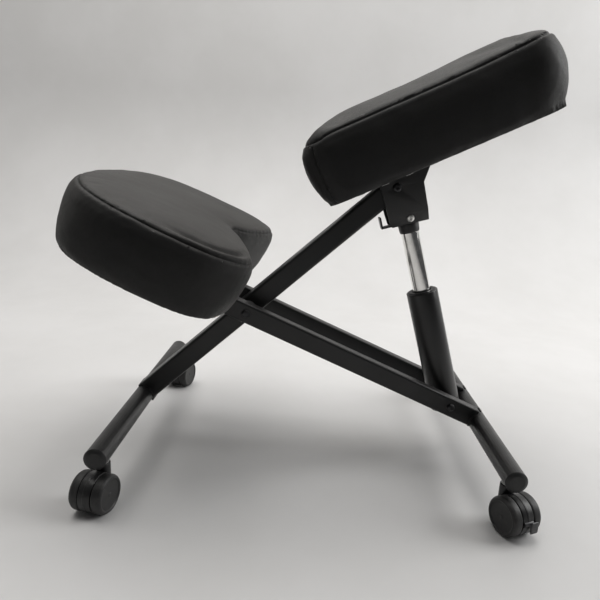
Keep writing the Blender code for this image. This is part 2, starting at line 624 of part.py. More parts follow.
def caster(tag, x, y, turn, brake):
    root = empty("caster_" + tag, (x - ORIGIN_X, y, 0), (0, 0, turn))
    axle_at = (-TRAIL, 0, WHEEL_R)
    for name, side in (("wheel_left_", 1), ("wheel_right_", -1)):
        w = turned(name + tag, wheel_profile, SIDES, False, wheel_turn)
        w.location = axle_at
        w.rotation_euler = (-side * pi / 2, 0, 0)
        finish(w, name + tag, "nylon", root, 0)
    finish(cyl(0.0030, 0.0360, axle_at, 'Y', 12), "axle_" + tag, "steel", root)
    hood = cyl(HOOD_R, 2 * HOOD_HALF, axle_at, 'Y', 32)
    finish(hood, "hood_" + tag, "nylon", root)
    neck = cutter(cyl(0.0094, 0.0200, (0, 0, NECK_TOP - 0.0100), 'Z', 18), root)
    boolean(hood, neck, 'UNION')
    boolean(hood, cutter(cyl(0.0058, 0.0200, (0, 0, NECK_TOP - 0.0055), 'Z', 12), root))
    boolean(hood, cutter(cyl(0.0034, 0.04, axle_at, 'Y', 12), root))
    boolean(hood, cutter(box((0.08, 0.04, 0.02), (-TRAIL, 0, -0.0045)), root))
    if brake:
        bx = -TRAIL - PEDAL_R * cos(PEDAL_DROP)
        bz = WHEEL_R - PEDAL_R * sin(PEDAL_DROP)
        boolean(hood, cutter(cyl(0.0038, 0.04, (bx, 0, bz), 'Y', 20), root))
        pedal = cyl(0.0034, 0.0150, (0, 0, 0), 'Y', 16)
        pedal.location = (bx, 0, bz)
        tongue = box((0.0032, 0.0125, 0.0160), (-TRAIL - 0.02926, -0.0070, WHEEL_R - 0.00339), (0, radians(1.7), 0))
        bevel(tongue, 0.0010, 1)
        finish(pedal, "brake_pedal_" + tag, "nylon", root)
        boolean(pedal, cutter(tongue, root), 'UNION')
    stem = turned("stem_" + tag, [(0, NECK_TOP + 0.0270), (0.0045, NECK_TOP + 0.0270), (0.0055, NECK_TOP + 0.0258),
                                  (0.0055, NECK_TOP + 0.0040), (0.0078, NECK_TOP + 0.0034), (0.0078, NECK_TOP + GAP),
                                  (0.0055, NECK_TOP + GAP), (0.0055, NECK_TOP - 0.0150), (0, NECK_TOP - 0.0150)], 12)
    finish(stem, "stem_" + tag, "steel", root, 0)


caster("front_near", 0.0, -STEM_Y, CASTER_TURN["front_near"], False)
caster("front_far", 0.0, STEM_Y, CASTER_TURN["front_far"], False)
caster("rear_near", WHEEL_BASE, -STEM_Y, CASTER_TURN["rear_near"], True)
caster("rear_far", WHEEL_BASE, STEM_Y, CASTER_TURN["rear_far"], True)
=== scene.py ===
"""Looks of the kneeling chair: covers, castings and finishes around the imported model.

Metres, +Z up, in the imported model's frame.  The camera stands on the -Y side.
"""
import bpy
import bmesh
import json
import math
import numpy as np
from math import radians, sin, cos, pi
from mathutils import Matrix, Vector

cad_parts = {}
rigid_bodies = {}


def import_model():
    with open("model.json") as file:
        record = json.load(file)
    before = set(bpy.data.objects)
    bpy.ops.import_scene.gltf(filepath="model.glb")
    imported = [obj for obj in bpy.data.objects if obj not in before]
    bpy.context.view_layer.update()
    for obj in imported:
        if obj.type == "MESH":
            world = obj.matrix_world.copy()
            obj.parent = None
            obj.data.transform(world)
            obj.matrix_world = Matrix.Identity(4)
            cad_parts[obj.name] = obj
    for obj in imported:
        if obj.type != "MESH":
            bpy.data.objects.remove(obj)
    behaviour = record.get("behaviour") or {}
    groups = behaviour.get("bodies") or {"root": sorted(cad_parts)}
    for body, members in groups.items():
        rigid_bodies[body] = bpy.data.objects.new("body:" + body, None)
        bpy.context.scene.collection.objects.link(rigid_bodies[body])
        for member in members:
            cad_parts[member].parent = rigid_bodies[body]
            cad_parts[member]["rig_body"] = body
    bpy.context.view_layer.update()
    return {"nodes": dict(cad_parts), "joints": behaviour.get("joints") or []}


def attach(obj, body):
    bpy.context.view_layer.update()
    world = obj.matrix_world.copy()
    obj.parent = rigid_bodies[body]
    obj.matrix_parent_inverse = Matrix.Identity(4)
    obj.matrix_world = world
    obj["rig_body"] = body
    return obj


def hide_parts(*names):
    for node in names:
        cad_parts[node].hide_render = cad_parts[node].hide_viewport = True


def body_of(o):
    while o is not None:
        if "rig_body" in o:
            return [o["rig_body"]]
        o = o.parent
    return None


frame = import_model()
JOINT = {j["name"]: j for j in frame["joints"]}
NODE = frame["nodes"]
SCENE = bpy.context.scene

# ------------------------------------------------------------------ frames
BEAM_ANGLE = radians(42.90)
ARM_ANGLE = radians(22.45)
ROD_ANGLE = radians(17.09)
SEAT_ANGLE = radians(26.2)
P1 = Vector(JOINT["x_pivot"]["pos_m"])           # X crossing
P2 = Vector(JOINT["column_pivot"]["pos_m"])      # foot of the column
X0 = P1.x - 0.1700                               # front cross tube
TUBE_Z = 0.0785
XB = X0 + 0.549                                  # rear cross tube


def place(origin, about_y):
    return Matrix.Translation(Vector(origin)) @ Matrix.Rotation(about_y, 4, 'Y')


F_SEAT = place((X0 + 0.2806, 0, 0.4163), -SEAT_ANGLE)
dx, dz = P1.x - XB, P1.z - TUBE_Z
XA = dx * cos(ARM_ANGLE) - dz * sin(ARM_ANGLE)
XN = dx * sin(ARM_ANGLE) + dz * cos(ARM_ANGLE)
KNEE_TOP = TUBE_Z + (XN + 0.015 + (0.549 - 0.0887) * sin(ARM_ANGLE)) / cos(ARM_ANGLE)
F_PAD = place((X0 + 0.0887, 0, KNEE_TOP), ARM_ANGLE)
F_ARM = place((XB, 0, TUBE_Z), ARM_ANGLE)
F_BEAM = place(P1, -BEAM_ANGLE)
F_COL = place(P2, -ROD_ANGLE)


# --------------------------------------------------------------- materials
class Nodes:
    """A material's node tree, built up by short calls."""

    def __init__(self, name):
        m = bpy.data.materials.new(name)
        m.use_nodes = True
        self.m, self.t = m, m.node_tree
        self.t.nodes.clear()
        self.out = self.t.nodes.new("ShaderNodeOutputMaterial")
        self.b = self.t.nodes.new("ShaderNodeBsdfPrincipled")
        self.t.links.new(self.b.outputs[0], self.out.inputs[0])
        self.co = self.t.nodes.new("ShaderNodeTexCoord").outputs["Object"]

    def put(self, socket, value):
        if hasattr(value, "is_linked") or isinstance(value, bpy.types.NodeSocket):
            self.t.links.new(value, socket)
        else:
            socket.default_value = value

    def set(self, **kw):
        for k, v in kw.items():
            self.put(self.b.inputs[k.replace("_", " ")], v)
        return self

    def mapping(self, scale=(1, 1, 1), rot=(0, 0, 0), loc=(0, 0, 0), co=None):
        n = self.t.nodes.new("ShaderNodeMapping")
        self.t.links.new(co or self.co, n.inputs[0])
        n.inputs["Scale"].default_value = scale
        n.inputs["Rotation"].default_value = rot
        n.inputs["Location"].default_value = loc
        return n.outputs[0]

    def noise(self, scale, detail=2.0, rough=0.5, co=None, distort=0.0):
        n = self.t.nodes.new("ShaderNodeTexNoise")
        self.t.links.new(co or self.co, n.inputs["Vector"])
        n.inputs["Scale"].default_value = scale
        n.inputs["Detail"].default_value = detail
        n.inputs["Roughness"].default_value = rough
        n.inputs["Distortion"].default_value = distort
        return n.outputs["Fac"]

    def cells(self, scale, feature='DISTANCE_TO_EDGE', co=None, randomness=1.0):
        n = self.t.nodes.new("ShaderNodeTexVoronoi")
        n.feature = feature
        self.t.links.new(co or self.co, n.inputs["Vector"])
        n.inputs["Scale"].default_value = scale
        n.inputs["Randomness"].default_value = randomness
        return n.outputs["Distance"]

    def ramp(self, fac, lo, hi, a=0.0, b=1.0, smooth=True):
        n = self.t.nodes.new("ShaderNodeMapRange")
        n.interpolation_type = 'SMOOTHSTEP' if smooth else 'LINEAR'
        self.put(n.inputs["Value"], fac)
        n.inputs["From Min"].default_value = lo
        n.inputs["From Max"].default_value = hi
        n.inputs["To Min"].default_value = a
        n.inputs["To Max"].default_value = b
        return n.outputs["Result"]

    def math(self, op, a, b=0.0):
        n = self.t.nodes.new("ShaderNodeMath")
        n.operation = op
        self.put(n.inputs[0], a)
        self.put(n.inputs[1], b)
        return n.outputs[0]

    def mix(self, fac, a, b):
        n = self.t.nodes.new("ShaderNodeMix")
        n.data_type = 'RGBA'
        self.put(n.inputs[0], fac)
        self.put(n.inputs[6], a if isinstance(a, bpy.types.NodeSocket) else (*a, 1.0))
        self.put(n.inputs[7], b if isinstance(b, bpy.types.NodeSocket) else (*b, 1.0))
        return n.outputs[2]

    def attr(self, name):
        n = self.t.nodes.new("ShaderNodeAttribute")
        n.attribute_name = name
        return n.outputs["Fac"]

    def bump(self, height, strength=0.3, distance=0.001, normal=None):
        n = self.t.nodes.new("ShaderNodeBump")
        n.inputs["Strength"].default_value = strength
        n.inputs["Distance"].default_value = distance
        self.put(n.inputs["Height"], height)
        if normal is not None:
            self.t.links.new(normal, n.inputs["Normal"])
        return n.outputs[0]

    def up(self):
        """How far a surface faces up, 0 to 1."""
        g = self.t.nodes.new("ShaderNodeNewGeometry")
        s = self.t.nodes.new("ShaderNodeSeparateXYZ")
        self.t.links.new(g.outputs["Normal"], s.inputs[0])
        return s.outputs["Z"]


def leatherette(name, painted_seam_shade=True):
    """Black polyurethane cover: fine pebbled grain, a soft sheen, upward faces lighter in patches (dust and a painted
    reflection of the room), painted shade along the seams.
    """
    n = Nodes(name)
    warp = n.noise(90, 2, 0.5)
    grain = n.cells(820)
    fine = n.cells(2100)
    pore = n.noise(2600, 2, 0.6)
    big = n.noise(11, 3, 0.55)
    mott = n.noise(140, 3, 0.6)
    groove = n.ramp(grain, 0.0, 0.16, 0.0, 1.0)
    col = n.mix(n.ramp(big, 0.3, 0.72), (0.0080, 0.0078, 0.0077), (0.0125, 0.0121, 0.0116))
    col = n.mix(n.ramp(groove, 0.0, 1.0, 0.55, 0.0), col, (0.0042, 0.0041, 0.0040))
    # upward faces lighter in patches: partly dust, partly a painted reflection of the room on the top of the cover
    dust_and_sheen = n.math('MULTIPLY', n.ramp(n.up(), 0.35, 0.95, 0.0, 0.34), n.ramp(mott, 0.30, 0.75, 0.45, 1.0))
    col = n.mix(dust_and_sheen, col, (0.090, 0.084, 0.077))
    # painted shade along the seams: colour up to three quarters of the way to near black within 1 mm of a seam, gone by
    # 3 mm
    if painted_seam_shade:
        near = n.ramp(n.attr("seam"), 0.0009, 0.0030, 1.0, 0.0)
        col = n.mix(n.math('MULTIPLY', near, 0.75), col, (0.0035, 0.0034, 0.0033))
    rough = n.ramp(n.math('ADD', n.math('MULTIPLY', mott, 0.5), n.math('MULTIPLY', big, 0.5)), 0.3, 0.7, 0.50, 0.60)
    rough = n.math('ADD', rough, n.ramp(groove, 0.0, 1.0, 0.10, 0.0))
    h = n.math('ADD', n.math('MULTIPLY', groove, 0.6), n.math('MULTIPLY', n.ramp(fine, 0.0, 0.2), 0.22))
    h = n.math('ADD', h, n.math('MULTIPLY', pore, 0.22))
    b1 = n.bump(h, 0.30, 0.00035)
    b2 = n.bump(n.math('ADD', n.noise(34, 2, 0.5), n.math('MULTIPLY', warp, 0.35)), 0.10, 0.004, b1)
    n.set(Base_Color=col, Roughness=rough, Normal=b2)
    n.b.inputs["Specular IOR Level"].default_value = 0.30
    n.b.inputs["Sheen Weight"].default_value = 0.06
    n.b.inputs["Sheen Roughness"].default_value = 0.45
    n.b.inputs["Sheen Tint"].default_value = (0.9, 0.88, 0.84, 1)
    return n.m


def powder(name, base=(0.0060, 0.0060, 0.0063), rough=(0.36, 0.46), peel=0.22):
    """Satin black powder coat: orange peel, fine specks, slightly dusty on top."""
    n = Nodes(name)
    peel_h = n.noise(620, 2, 0.5)
    speck = n.noise(2400, 2, 0.6)
    cloud = n.noise(24, 3, 0.6)
    scuff = n.noise(60, 4, 0.7, co=n.mapping((1, 6, 1)))
    col = n.mix(n.ramp(cloud, 0.3, 0.7), base, tuple(c * 1.35 for c in base))
    dust_and_sheen = n.math('MULTIPLY', n.ramp(n.up(), 0.45, 0.98, 0.0, 0.22), n.ramp(n.noise(210, 4, 0.7), 0.35, 0.75))
    col = n.mix(dust_and_sheen, col, (0.085, 0.080, 0.074))
    r = n.ramp(cloud, 0.3, 0.7, rough[0], rough[1])
    r = n.math('ADD', r, n.math('MULTIPLY', n.ramp(scuff, 0.56, 0.72), 0.08))
    r = n.math('ADD', r, n.math('MULTIPLY', dust_and_sheen, 0.5))
    h = n.math('ADD', peel_h, n.math('MULTIPLY', speck, 0.25))
    n.set(Base_Color=col, Roughness=r, Normal=n.bump(h, peel, 0.0004))
    n.b.inputs["Specular IOR Level"].default_value = 0.45
    n.b.inputs["Coat Weight"].default_value = 0.12
    n.b.inputs["Coat Roughness"].default_value = 0.30
    return n.m


def nylon(name, base=(0.0072, 0.0072, 0.0076), rough=(0.34, 0.46), worn=0.0):
    """Moulded nylon with faint flow marks; worn adds the grey of a rolled tread."""
    n = Nodes(name)
    flow = n.noise(70, 3, 0.6, distort=0.6)
    fine = n.noise(1800, 2, 0.6)
    scratch = n.noise(260, 5, 0.75, co=n.mapping((1, 1, 9)))
    col = n.mix(n.ramp(flow, 0.35, 0.7), base, tuple(c * 1.5 for c in base))
    dirt = n.math('MULTIPLY', n.ramp(n.noise(180, 5, 0.7), 0.46, 0.74), 0.10 + 0.5 * worn)
    col = n.mix(dirt, col, (0.10, 0.094, 0.086))
    r = n.math('ADD', n.ramp(flow, 0.3, 0.7, rough[0], rough[1]), n.math('MULTIPLY', n.ramp(scratch, 0.55, 0.8), 0.12))
    r = n.math('ADD', r, n.math('MULTIPLY', dirt, 0.5))
    n.set(Base_Color=col, Roughness=r,
          Normal=n.bump(n.math('ADD', fine, n.math('MULTIPLY', scratch, 0.5)), 0.10, 0.00025))
    return n.m


def metal(name, base, rough, streak=(1, 1, 30), streak_amount=0.10, tarnish=0.15, peel=0.06):
    n = Nodes(name)
    s = n.noise(420, 3, 0.6, co=n.mapping(streak))
    cloud = n.noise(38, 3, 0.6)
    col = n.mix(n.math('MULTIPLY', n.ramp(cloud, 0.4, 0.75), tarnish), base, tuple(c * 0.55 for c in base))
    r = n.math('ADD', n.ramp(s, 0.35, 0.7, rough, rough + streak_amount), n.math('MULTIPLY', n.ramp(cloud, 0.45, 0.8), 0.06))
    n.set(Base_Color=col, Roughness=r, Metallic=1.0, Normal=n.bump(s, peel, 0.0002))
    return n.m


def chrome(name):
    """Hard chrome rod: bright, with faint rings from grinding and from the seal."""
    n = Nodes(name)
    inv = F_COL.inverted().to_euler()
    loc = F_COL.inverted().translation
    local = n.mapping((1, 1, 1), tuple(inv), tuple(loc))
    rings = n.noise(500, 2, 0.5, co=n.mapping((0.02, 0.02, 8), co=local))
    long_ = n.noise(900, 2, 0.5, co=n.mapping((3, 3, 0.05), co=local))
    smear = n.noise(60, 3, 0.6, co=local)
    r = n.math('ADD', n.ramp(rings, 0.4, 0.7, 0.09, 0.15), n.math('MULTIPLY', n.ramp(smear, 0.45, 0.75), 0.09))
    col = n.mix(n.ramp(smear, 0.4, 0.8, 0.0, 0.22), (0.80, 0.79, 0.77), (0.60, 0.585, 0.56))
    n.set(Base_Color=col, Roughness=r, Metallic=1.0,
          Normal=n.bump(n.math('ADD', rings, n.math('MULTIPLY', long_, 0.4)), 0.04, 0.0002))
    return n.m


def plywood(name):
    n = Nodes(name)
    grain = n.noise(60, 4, 0.6, co=n.mapping((0.35, 4, 4)))
    fleck = n.noise(700, 3, 0.6, co=n.mapping((0.3, 2, 2)))
    col = n.mix(n.ramp(grain, 0.3, 0.7), (0.36, 0.245, 0.140), (0.52, 0.385, 0.235))
    col = n.mix(n.ramp(fleck, 0.6, 0.75, 0.0, 0.5), col, (0.20, 0.12, 0.065))
    n.set(Base_Color=col, Roughness=n.ramp(grain, 0.3, 0.7, 0.62, 0.78), Normal=n.bump(fleck, 0.2, 0.0003))
    return n.m


def felt(name):
    """Spun black dust cover."""
    n = Nodes(name)
    f1 = n.noise(900, 4, 0.75, distort=1.5)
    emboss = n.cells(420, 'F1', randomness=0.15)
    col = n.mix(n.ramp(f1, 0.35, 0.7), (0.010, 0.010, 0.0105), (0.028, 0.028, 0.029))
    h = n.math('ADD', f1, n.ramp(emboss, 0.1, 0.45, 0.0, 0.6))
    n.set(Base_Color=col, Roughness=0.88, Normal=n.bump(h, 0.4, 0.0004))
    return n.m


M_COVER = leatherette("black_leatherette")
M_FRAME = powder("satin_powder_coat")
M_COLUMN = powder("column_paint", (0.0055, 0.0055, 0.0058), (0.30, 0.38), 0.10)
M_BRACKET = powder("bracket_powder_coat", (0.0070, 0.0070, 0.0073), (0.40, 0.50), 0.28)
M_CHROME = chrome("hard_chrome")
M_ZINC = metal("bright_zinc", (0.66, 0.66, 0.64), 0.24)
M_BOLT = metal("black_oxide", (0.050, 0.050, 0.052), 0.34, tarnish=0.4)
M_STEEL = metal("turned_steel", (0.46, 0.46, 0.45), 0.32)
M_NYLON = nylon("caster_nylon")
M_TREAD = nylon("caster_tread", (0.0110, 0.0110, 0.0112), (0.44, 0.56), 0.30)
M_CAP = nylon("cap_plastic", (0.0085, 0.0085, 0.0088), (0.46, 0.58))
M_PEDAL = nylon("pedal_plastic", (0.030, 0.030, 0.032), (0.36, 0.46), 0.1)
M_BUSH = nylon("bush_plastic", (0.030, 0.030, 0.031), (0.42, 0.52))
M_PLY = plywood("plywood")
M_FELT = felt("dust_cover")


def give(ob, m):
    ob.data.materials.clear()
    ob.data.materials.append(m)


for ob_name, ob in NODE.items():
    if ob_name.startswith(("arm_plug", "front_end_cap", "rear_end_cap")):
        give(ob, M_CAP)
    elif ob_name.startswith(("arm_", "front_cross", "rear_cross", "main_beam")):
        give(ob, M_FRAME)
    elif ob_name in ("seat_bracket", "taper_hub", "seat_mount_plate"):
        give(ob, M_BRACKET)
    elif ob_name == "gas_column":
        give(ob, M_COLUMN)
    elif ob_name == "gas_rod":
        give(ob, M_CHROME)
    elif ob_name == "clamp_screw":
        give(ob, M_ZINC)
    elif ob_name.endswith(("_bolt", "_nut")) or ob_name == "release_lever":
        give(ob, M_BOLT)
    elif ob_name.startswith(("axle_", "stem_")) or ob_name.endswith("_sleeve") or ob_name in ("valve_pin", "column_foot_plug"):
        give(ob, M_STEEL)
    elif ob_name.startswith("wheel_"):
        give(ob, M_TREAD)
    elif ob_name.endswith("_board"):
        give(ob, M_PLY)
    elif ob_name.endswith("_cushion"):
        give(ob, M_COVER)
    elif "spacer" in ob_name or "washer" in ob_name or "bush" in ob_name:
        give(ob, M_BUSH)
    else:
        give(ob, M_NYLON)


def link(ob, m=None, body=None, smooth=35):
    SCENE.collection.objects.link(ob)
    if m is not None:
        give(ob, m)
    if smooth:
        ob.data.shade_smooth()
        ob.data.set_sharp_from_angle(angle=radians(smooth))
    if body is not None:
        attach(ob, body)
    return ob


def from_arrays(name, co, faces, matrix=None):
    me = bpy.data.meshes.new(name)
    me.from_pydata([tuple(c) for c in co], [], faces)
    if matrix is not None:
        me.transform(matrix)
    me.validate()
    return bpy.data.objects.new(name, me)


def round_path(pts, closed=False):
    """Points (a, b) or (a, b, radius): a corner with a radius becomes an arc."""
    out = []
    n = len(pts)
    for k, p in enumerate(pts):
        r = p[2] if len(p) > 2 else 0.0
        ends = k in (0, n - 1) and not closed
        if not r or ends:
            out.append((p[0], p[1]))
            continue
        c = Vector(p[:2])
        a = Vector(pts[k - 1][:2]) - c
        b = Vector(pts[(k + 1) % n][:2]) - c
        la, lb = a.length, b.length
        a.normalize()
        b.normalize()
        ang = a.angle(b)
        if ang > pi - 0.02:
            out.append((p[0], p[1]))
            continue
        t = min(r / math.tan(ang / 2), la * 0.49, lb * 0.49)
        r = t * math.tan(ang / 2)
        mid = (a + b).normalized()
        centre = c + mid * (r / sin(ang / 2))
        s, e = c + a * t - centre, c + b * t - centre
        steps = max(2, int(4 * (pi - ang) / (pi / 2)) + 1)
        turn = s.angle_signed(e)
        for i in range(steps + 1):
            q = s.copy()
            q.rotate(Matrix.Rotation(-turn * i / steps, 2))
            out.append((centre.x + q.x, centre.y + q.y))
    return out


def lathe(name, profile, matrix, m, body=None, steps=96, closed=False, smooth=35):
    """Turn (radius, height[, fillet]) points about local Z."""
    pts = round_path(profile, closed)
    co, rows = [], []
    for r, z in pts:
        if r < 1e-6:
            rows.append([len(co)])
            co.append((0.0, 0.0, z))
        else:
            rows.append(list(range(len(co), len(co) + steps)))
            co += [(r * cos(2 * pi * i / steps), r * sin(2 * pi * i / steps), z) for i in range(steps)]
    pairs = list(zip(rows, rows[1:])) + ([(rows[-1], rows[0])] if closed else [])
    faces = []
    for a, b in pairs:
        for i in range(steps):
            j = (i + 1) % steps
            if len(a) == 1 and len(b) == 1:
                break
            if len(a) == 1:
                faces.append((a[0], b[j], b[i]))
            elif len(b) == 1:
                faces.append((a[i], a[j], b[0]))
            else:
                faces.append((a[i], a[j], b[j], b[i]))
    ob = from_arrays(name, co, faces, matrix)
    bm = bmesh.new()
    bm.from_mesh(ob.data)
    bmesh.ops.recalc_face_normals(bm, faces=bm.faces)
    bm.to_mesh(ob.data)
    bm.free()
    return link(ob, m, body, smooth)


def applied(ob):
    """Bake an object's modifiers into its mesh."""
    bpy.context.view_layer.update()
    dg = bpy.context.evaluated_depsgraph_get()
    me = bpy.data.meshes.new_from_object(ob.evaluated_get(dg))
    ob.modifiers.clear()
    old = ob.data
    ob.data = me
    bpy.data.meshes.remove(old)
    return ob


def cut_with(ob, other, op='DIFFERENCE'):
    mod = ob.modifiers.new(op, 'BOOLEAN')
    mod.operation = op
    mod.solver = 'EXACT'
    mod.object = other
    applied(ob)
    bpy.data.objects.remove(other, do_unlink=True)
    return ob


def softened(node, name, width, m, body, segments=3, angle=35):
    """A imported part's shape with its sharp edges eased."""
    src = NODE[node]
    me = src.data.copy()
    me.name = name
    me.transform(src.matrix_world)
    bm = bmesh.new()
    bm.from_mesh(me)
    bmesh.ops.remove_doubles(bm, verts=bm.verts, dist=2e-6)
    bmesh.ops.dissolve_limit(bm, angle_limit=radians(0.8), verts=bm.verts, edges=bm.edges)
    bmesh.ops.recalc_face_normals(bm, faces=bm.faces)
    bm.to_mesh(me)
    bm.free()
    ob = bpy.data.objects.new(name, me)
    SCENE.collection.objects.link(ob)
    mod = ob.modifiers.new("bevel", 'BEVEL')
    mod.width = width
    mod.segments = segments
    mod.limit_method = 'ANGLE'
    mod.angle_limit = radians(angle)
    mod.harden_normals = False
    applied(ob)
    give(ob, m)
    ob.data.shade_smooth()
    ob.data.set_sharp_from_angle(angle=radians(40))
    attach(ob, body)
    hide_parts(node)
    return ob


def sweep(name, pts, radius, m, body, sides=16, caps=True, smooth=60):
    """A round bar along points; radius is a number or one per point."""
    pts = [Vector(p) for p in pts]
    rad = radius if hasattr(radius, "__len__") else [radius] * len(pts)
    co, faces = [], []
    ref = None
    for k, p in enumerate(pts):
        t = (pts[min(k + 1, len(pts) - 1)] - pts[max(k - 1, 0)]).normalized()
        if ref is None:
            ref = t.orthogonal().normalized()
        ref = (ref - t * ref.dot(t)).normalized()
        other = t.cross(ref)
        for i in range(sides):
            a = 2 * pi * i / sides
            co.append(p + (ref * cos(a) + other * sin(a)) * rad[k])
    for k in range(len(pts) - 1):
        for i in range(sides):
            j = (i + 1) % sides
            faces.append((k * sides + i, k * sides + j, (k + 1) * sides + j, (k + 1) * sides + i))
    if caps:
        faces.append(tuple(reversed(range(sides))))
        faces.append(tuple(range((len(pts) - 1) * sides, len(pts) * sides)))
    return link(from_arrays(name, co, faces), m, body, smooth)


def catmull(ctrl, per, closed=True):
    out = []
    n = len(ctrl)
    for k in range(n if closed else n - 1):
        if closed:
            p0, p1, p2, p3 = (np.array(ctrl[(k + j - 1) % n], float) for j in range(4))
        else:
            p0, p1, p2, p3 = (np.array(ctrl[min(max(k + j - 1, 0), n - 1)], float) for j in range(4))
        for i in range(per):
            t = i / per
            out.append(0.5 * ((2 * p1) + (p2 - p0) * t + (2 * p0 - 5 * p1 + 4 * p2 - p3) * t * t
                              + (3 * p1 - p0 - 3 * p2 + p3) * t ** 3))
    if not closed:
        out.append(np.array(ctrl[-1], float))
    return np.array(out)


def resample(loop, count):
    """A closed outline with evenly spaced points."""
    loop = np.asarray(loop, float)
    nxt = np.roll(loop, -1, 0)
    seg = np.linalg.norm(nxt - loop, axis=1)
    at = np.concatenate([[0], np.cumsum(seg)])
    want = np.linspace(0, at[-1], count, endpoint=False)
    closed = np.vstack([loop, loop[:1]])
    return np.stack([np.interp(want, at, closed[:, k]) for k in range(loop.shape[1])], 1)


def normals2(loop):
    """Outward normals of a counter-clockwise outline."""
    t = np.roll(loop, -1, 0) - np.roll(loop, 1, 0)
    t /= np.linalg.norm(t, axis=1)[:, None]
    return np.stack([t[:, 1], -t[:, 0]], 1)


def seg_distance(points, loop, closed=True):
    """Distance of points to a polyline, and the index of the nearest segment."""
    a = loop
    b = np.roll(loop, -1, 0) if closed else loop[1:]
    if not closed:
        a = loop[:-1]
    ab = b - a
    l2 = (ab ** 2).sum(1)
    best = np.full(len(points), 1e9)
    arg = np.zeros(len(points), int)
    for s in range(0, len(points), 4000):
        p = points[s:s + 4000]
        t = np.clip(((p[:, None, :] - a[None]) * ab[None]).sum(2) / l2[None], 0, 1)
        d = np.linalg.norm(p[:, None, :] - (a[None] + t[..., None] * ab[None]), axis=2)
        k = d.argmin(1)
        best[s:s + 4000] = d[np.arange(len(p)), k]
        arg[s:s + 4000] = k
    return best, arg


def inside(points, loop):
    x, y = points[:, 0][:, None], points[:, 1][:, None]
    x0, y0 = loop[:, 0][None], loop[:, 1][None]
    nx = np.roll(loop, -1, 0)
    x1, y1 = nx[:, 0][None], nx[:, 1][None]
    cross = ((y0 > y) != (y1 > y)) & (x < (x1 - x0) * (y - y0) / np.where(y1 == y0, 1e-12, y1 - y0) + x0)
    return cross.sum(1) % 2 == 1


def wave(p, seed, freq, count=7):
    """Smooth repeatable noise of 3-D points, about -1 to 1."""
    rng = np.random.default_rng(seed)
    out = np.zeros(len(p))
    for _ in range(count):
        d = rng.normal(size=3)
        d /= np.linalg.norm(d)
        out += np.sin(p @ d * freq * rng.uniform(0.6, 1.6) * 2 * pi + rng.uniform(0, 2 * pi))
    return out / count * 1.6


# ---------------------------------------------------------------- cushions
HEM = -0.0012                    # under face of the cover's hem



def iso_cut(bm, layers, index, level, reach=0.009, snap=0.00012):
    """Cut the surface along the line where a vertex value equals level."""
    lay = layers[index]
    for v in bm.verts:
        if abs(v[lay] - level) < snap:
            v[lay] = level
    hit = []
    for e in bm.edges:
        a, b = e.verts
        sa, sb = a[lay] - level, b[lay] - level
        if sa * sb < 0 and abs(sa) < reach and abs(sb) < reach:
            hit.append((e, a, b, sa / (sa - sb)))
    touched = set()
    for e, a, b, fac in hit:
        vals = [a[l] * (1 - fac) + b[l] * fac for l in layers]
        for f in e.link_faces:
            touched.add(f)
        _, v = bmesh.utils.edge_split(e, a, fac)
        for l, x in zip(layers, vals):
            v[l] = x
        v[lay] = level
    for f in touched:
        on = [v for v in f.verts if abs(v[lay] - level) < 1e-9]
        if len(on) == 2 and not any(on[1] in e.verts for e in on[0].link_edges if f in e.link_faces):
            bmesh.utils.face_split(f, on[0], on[1])


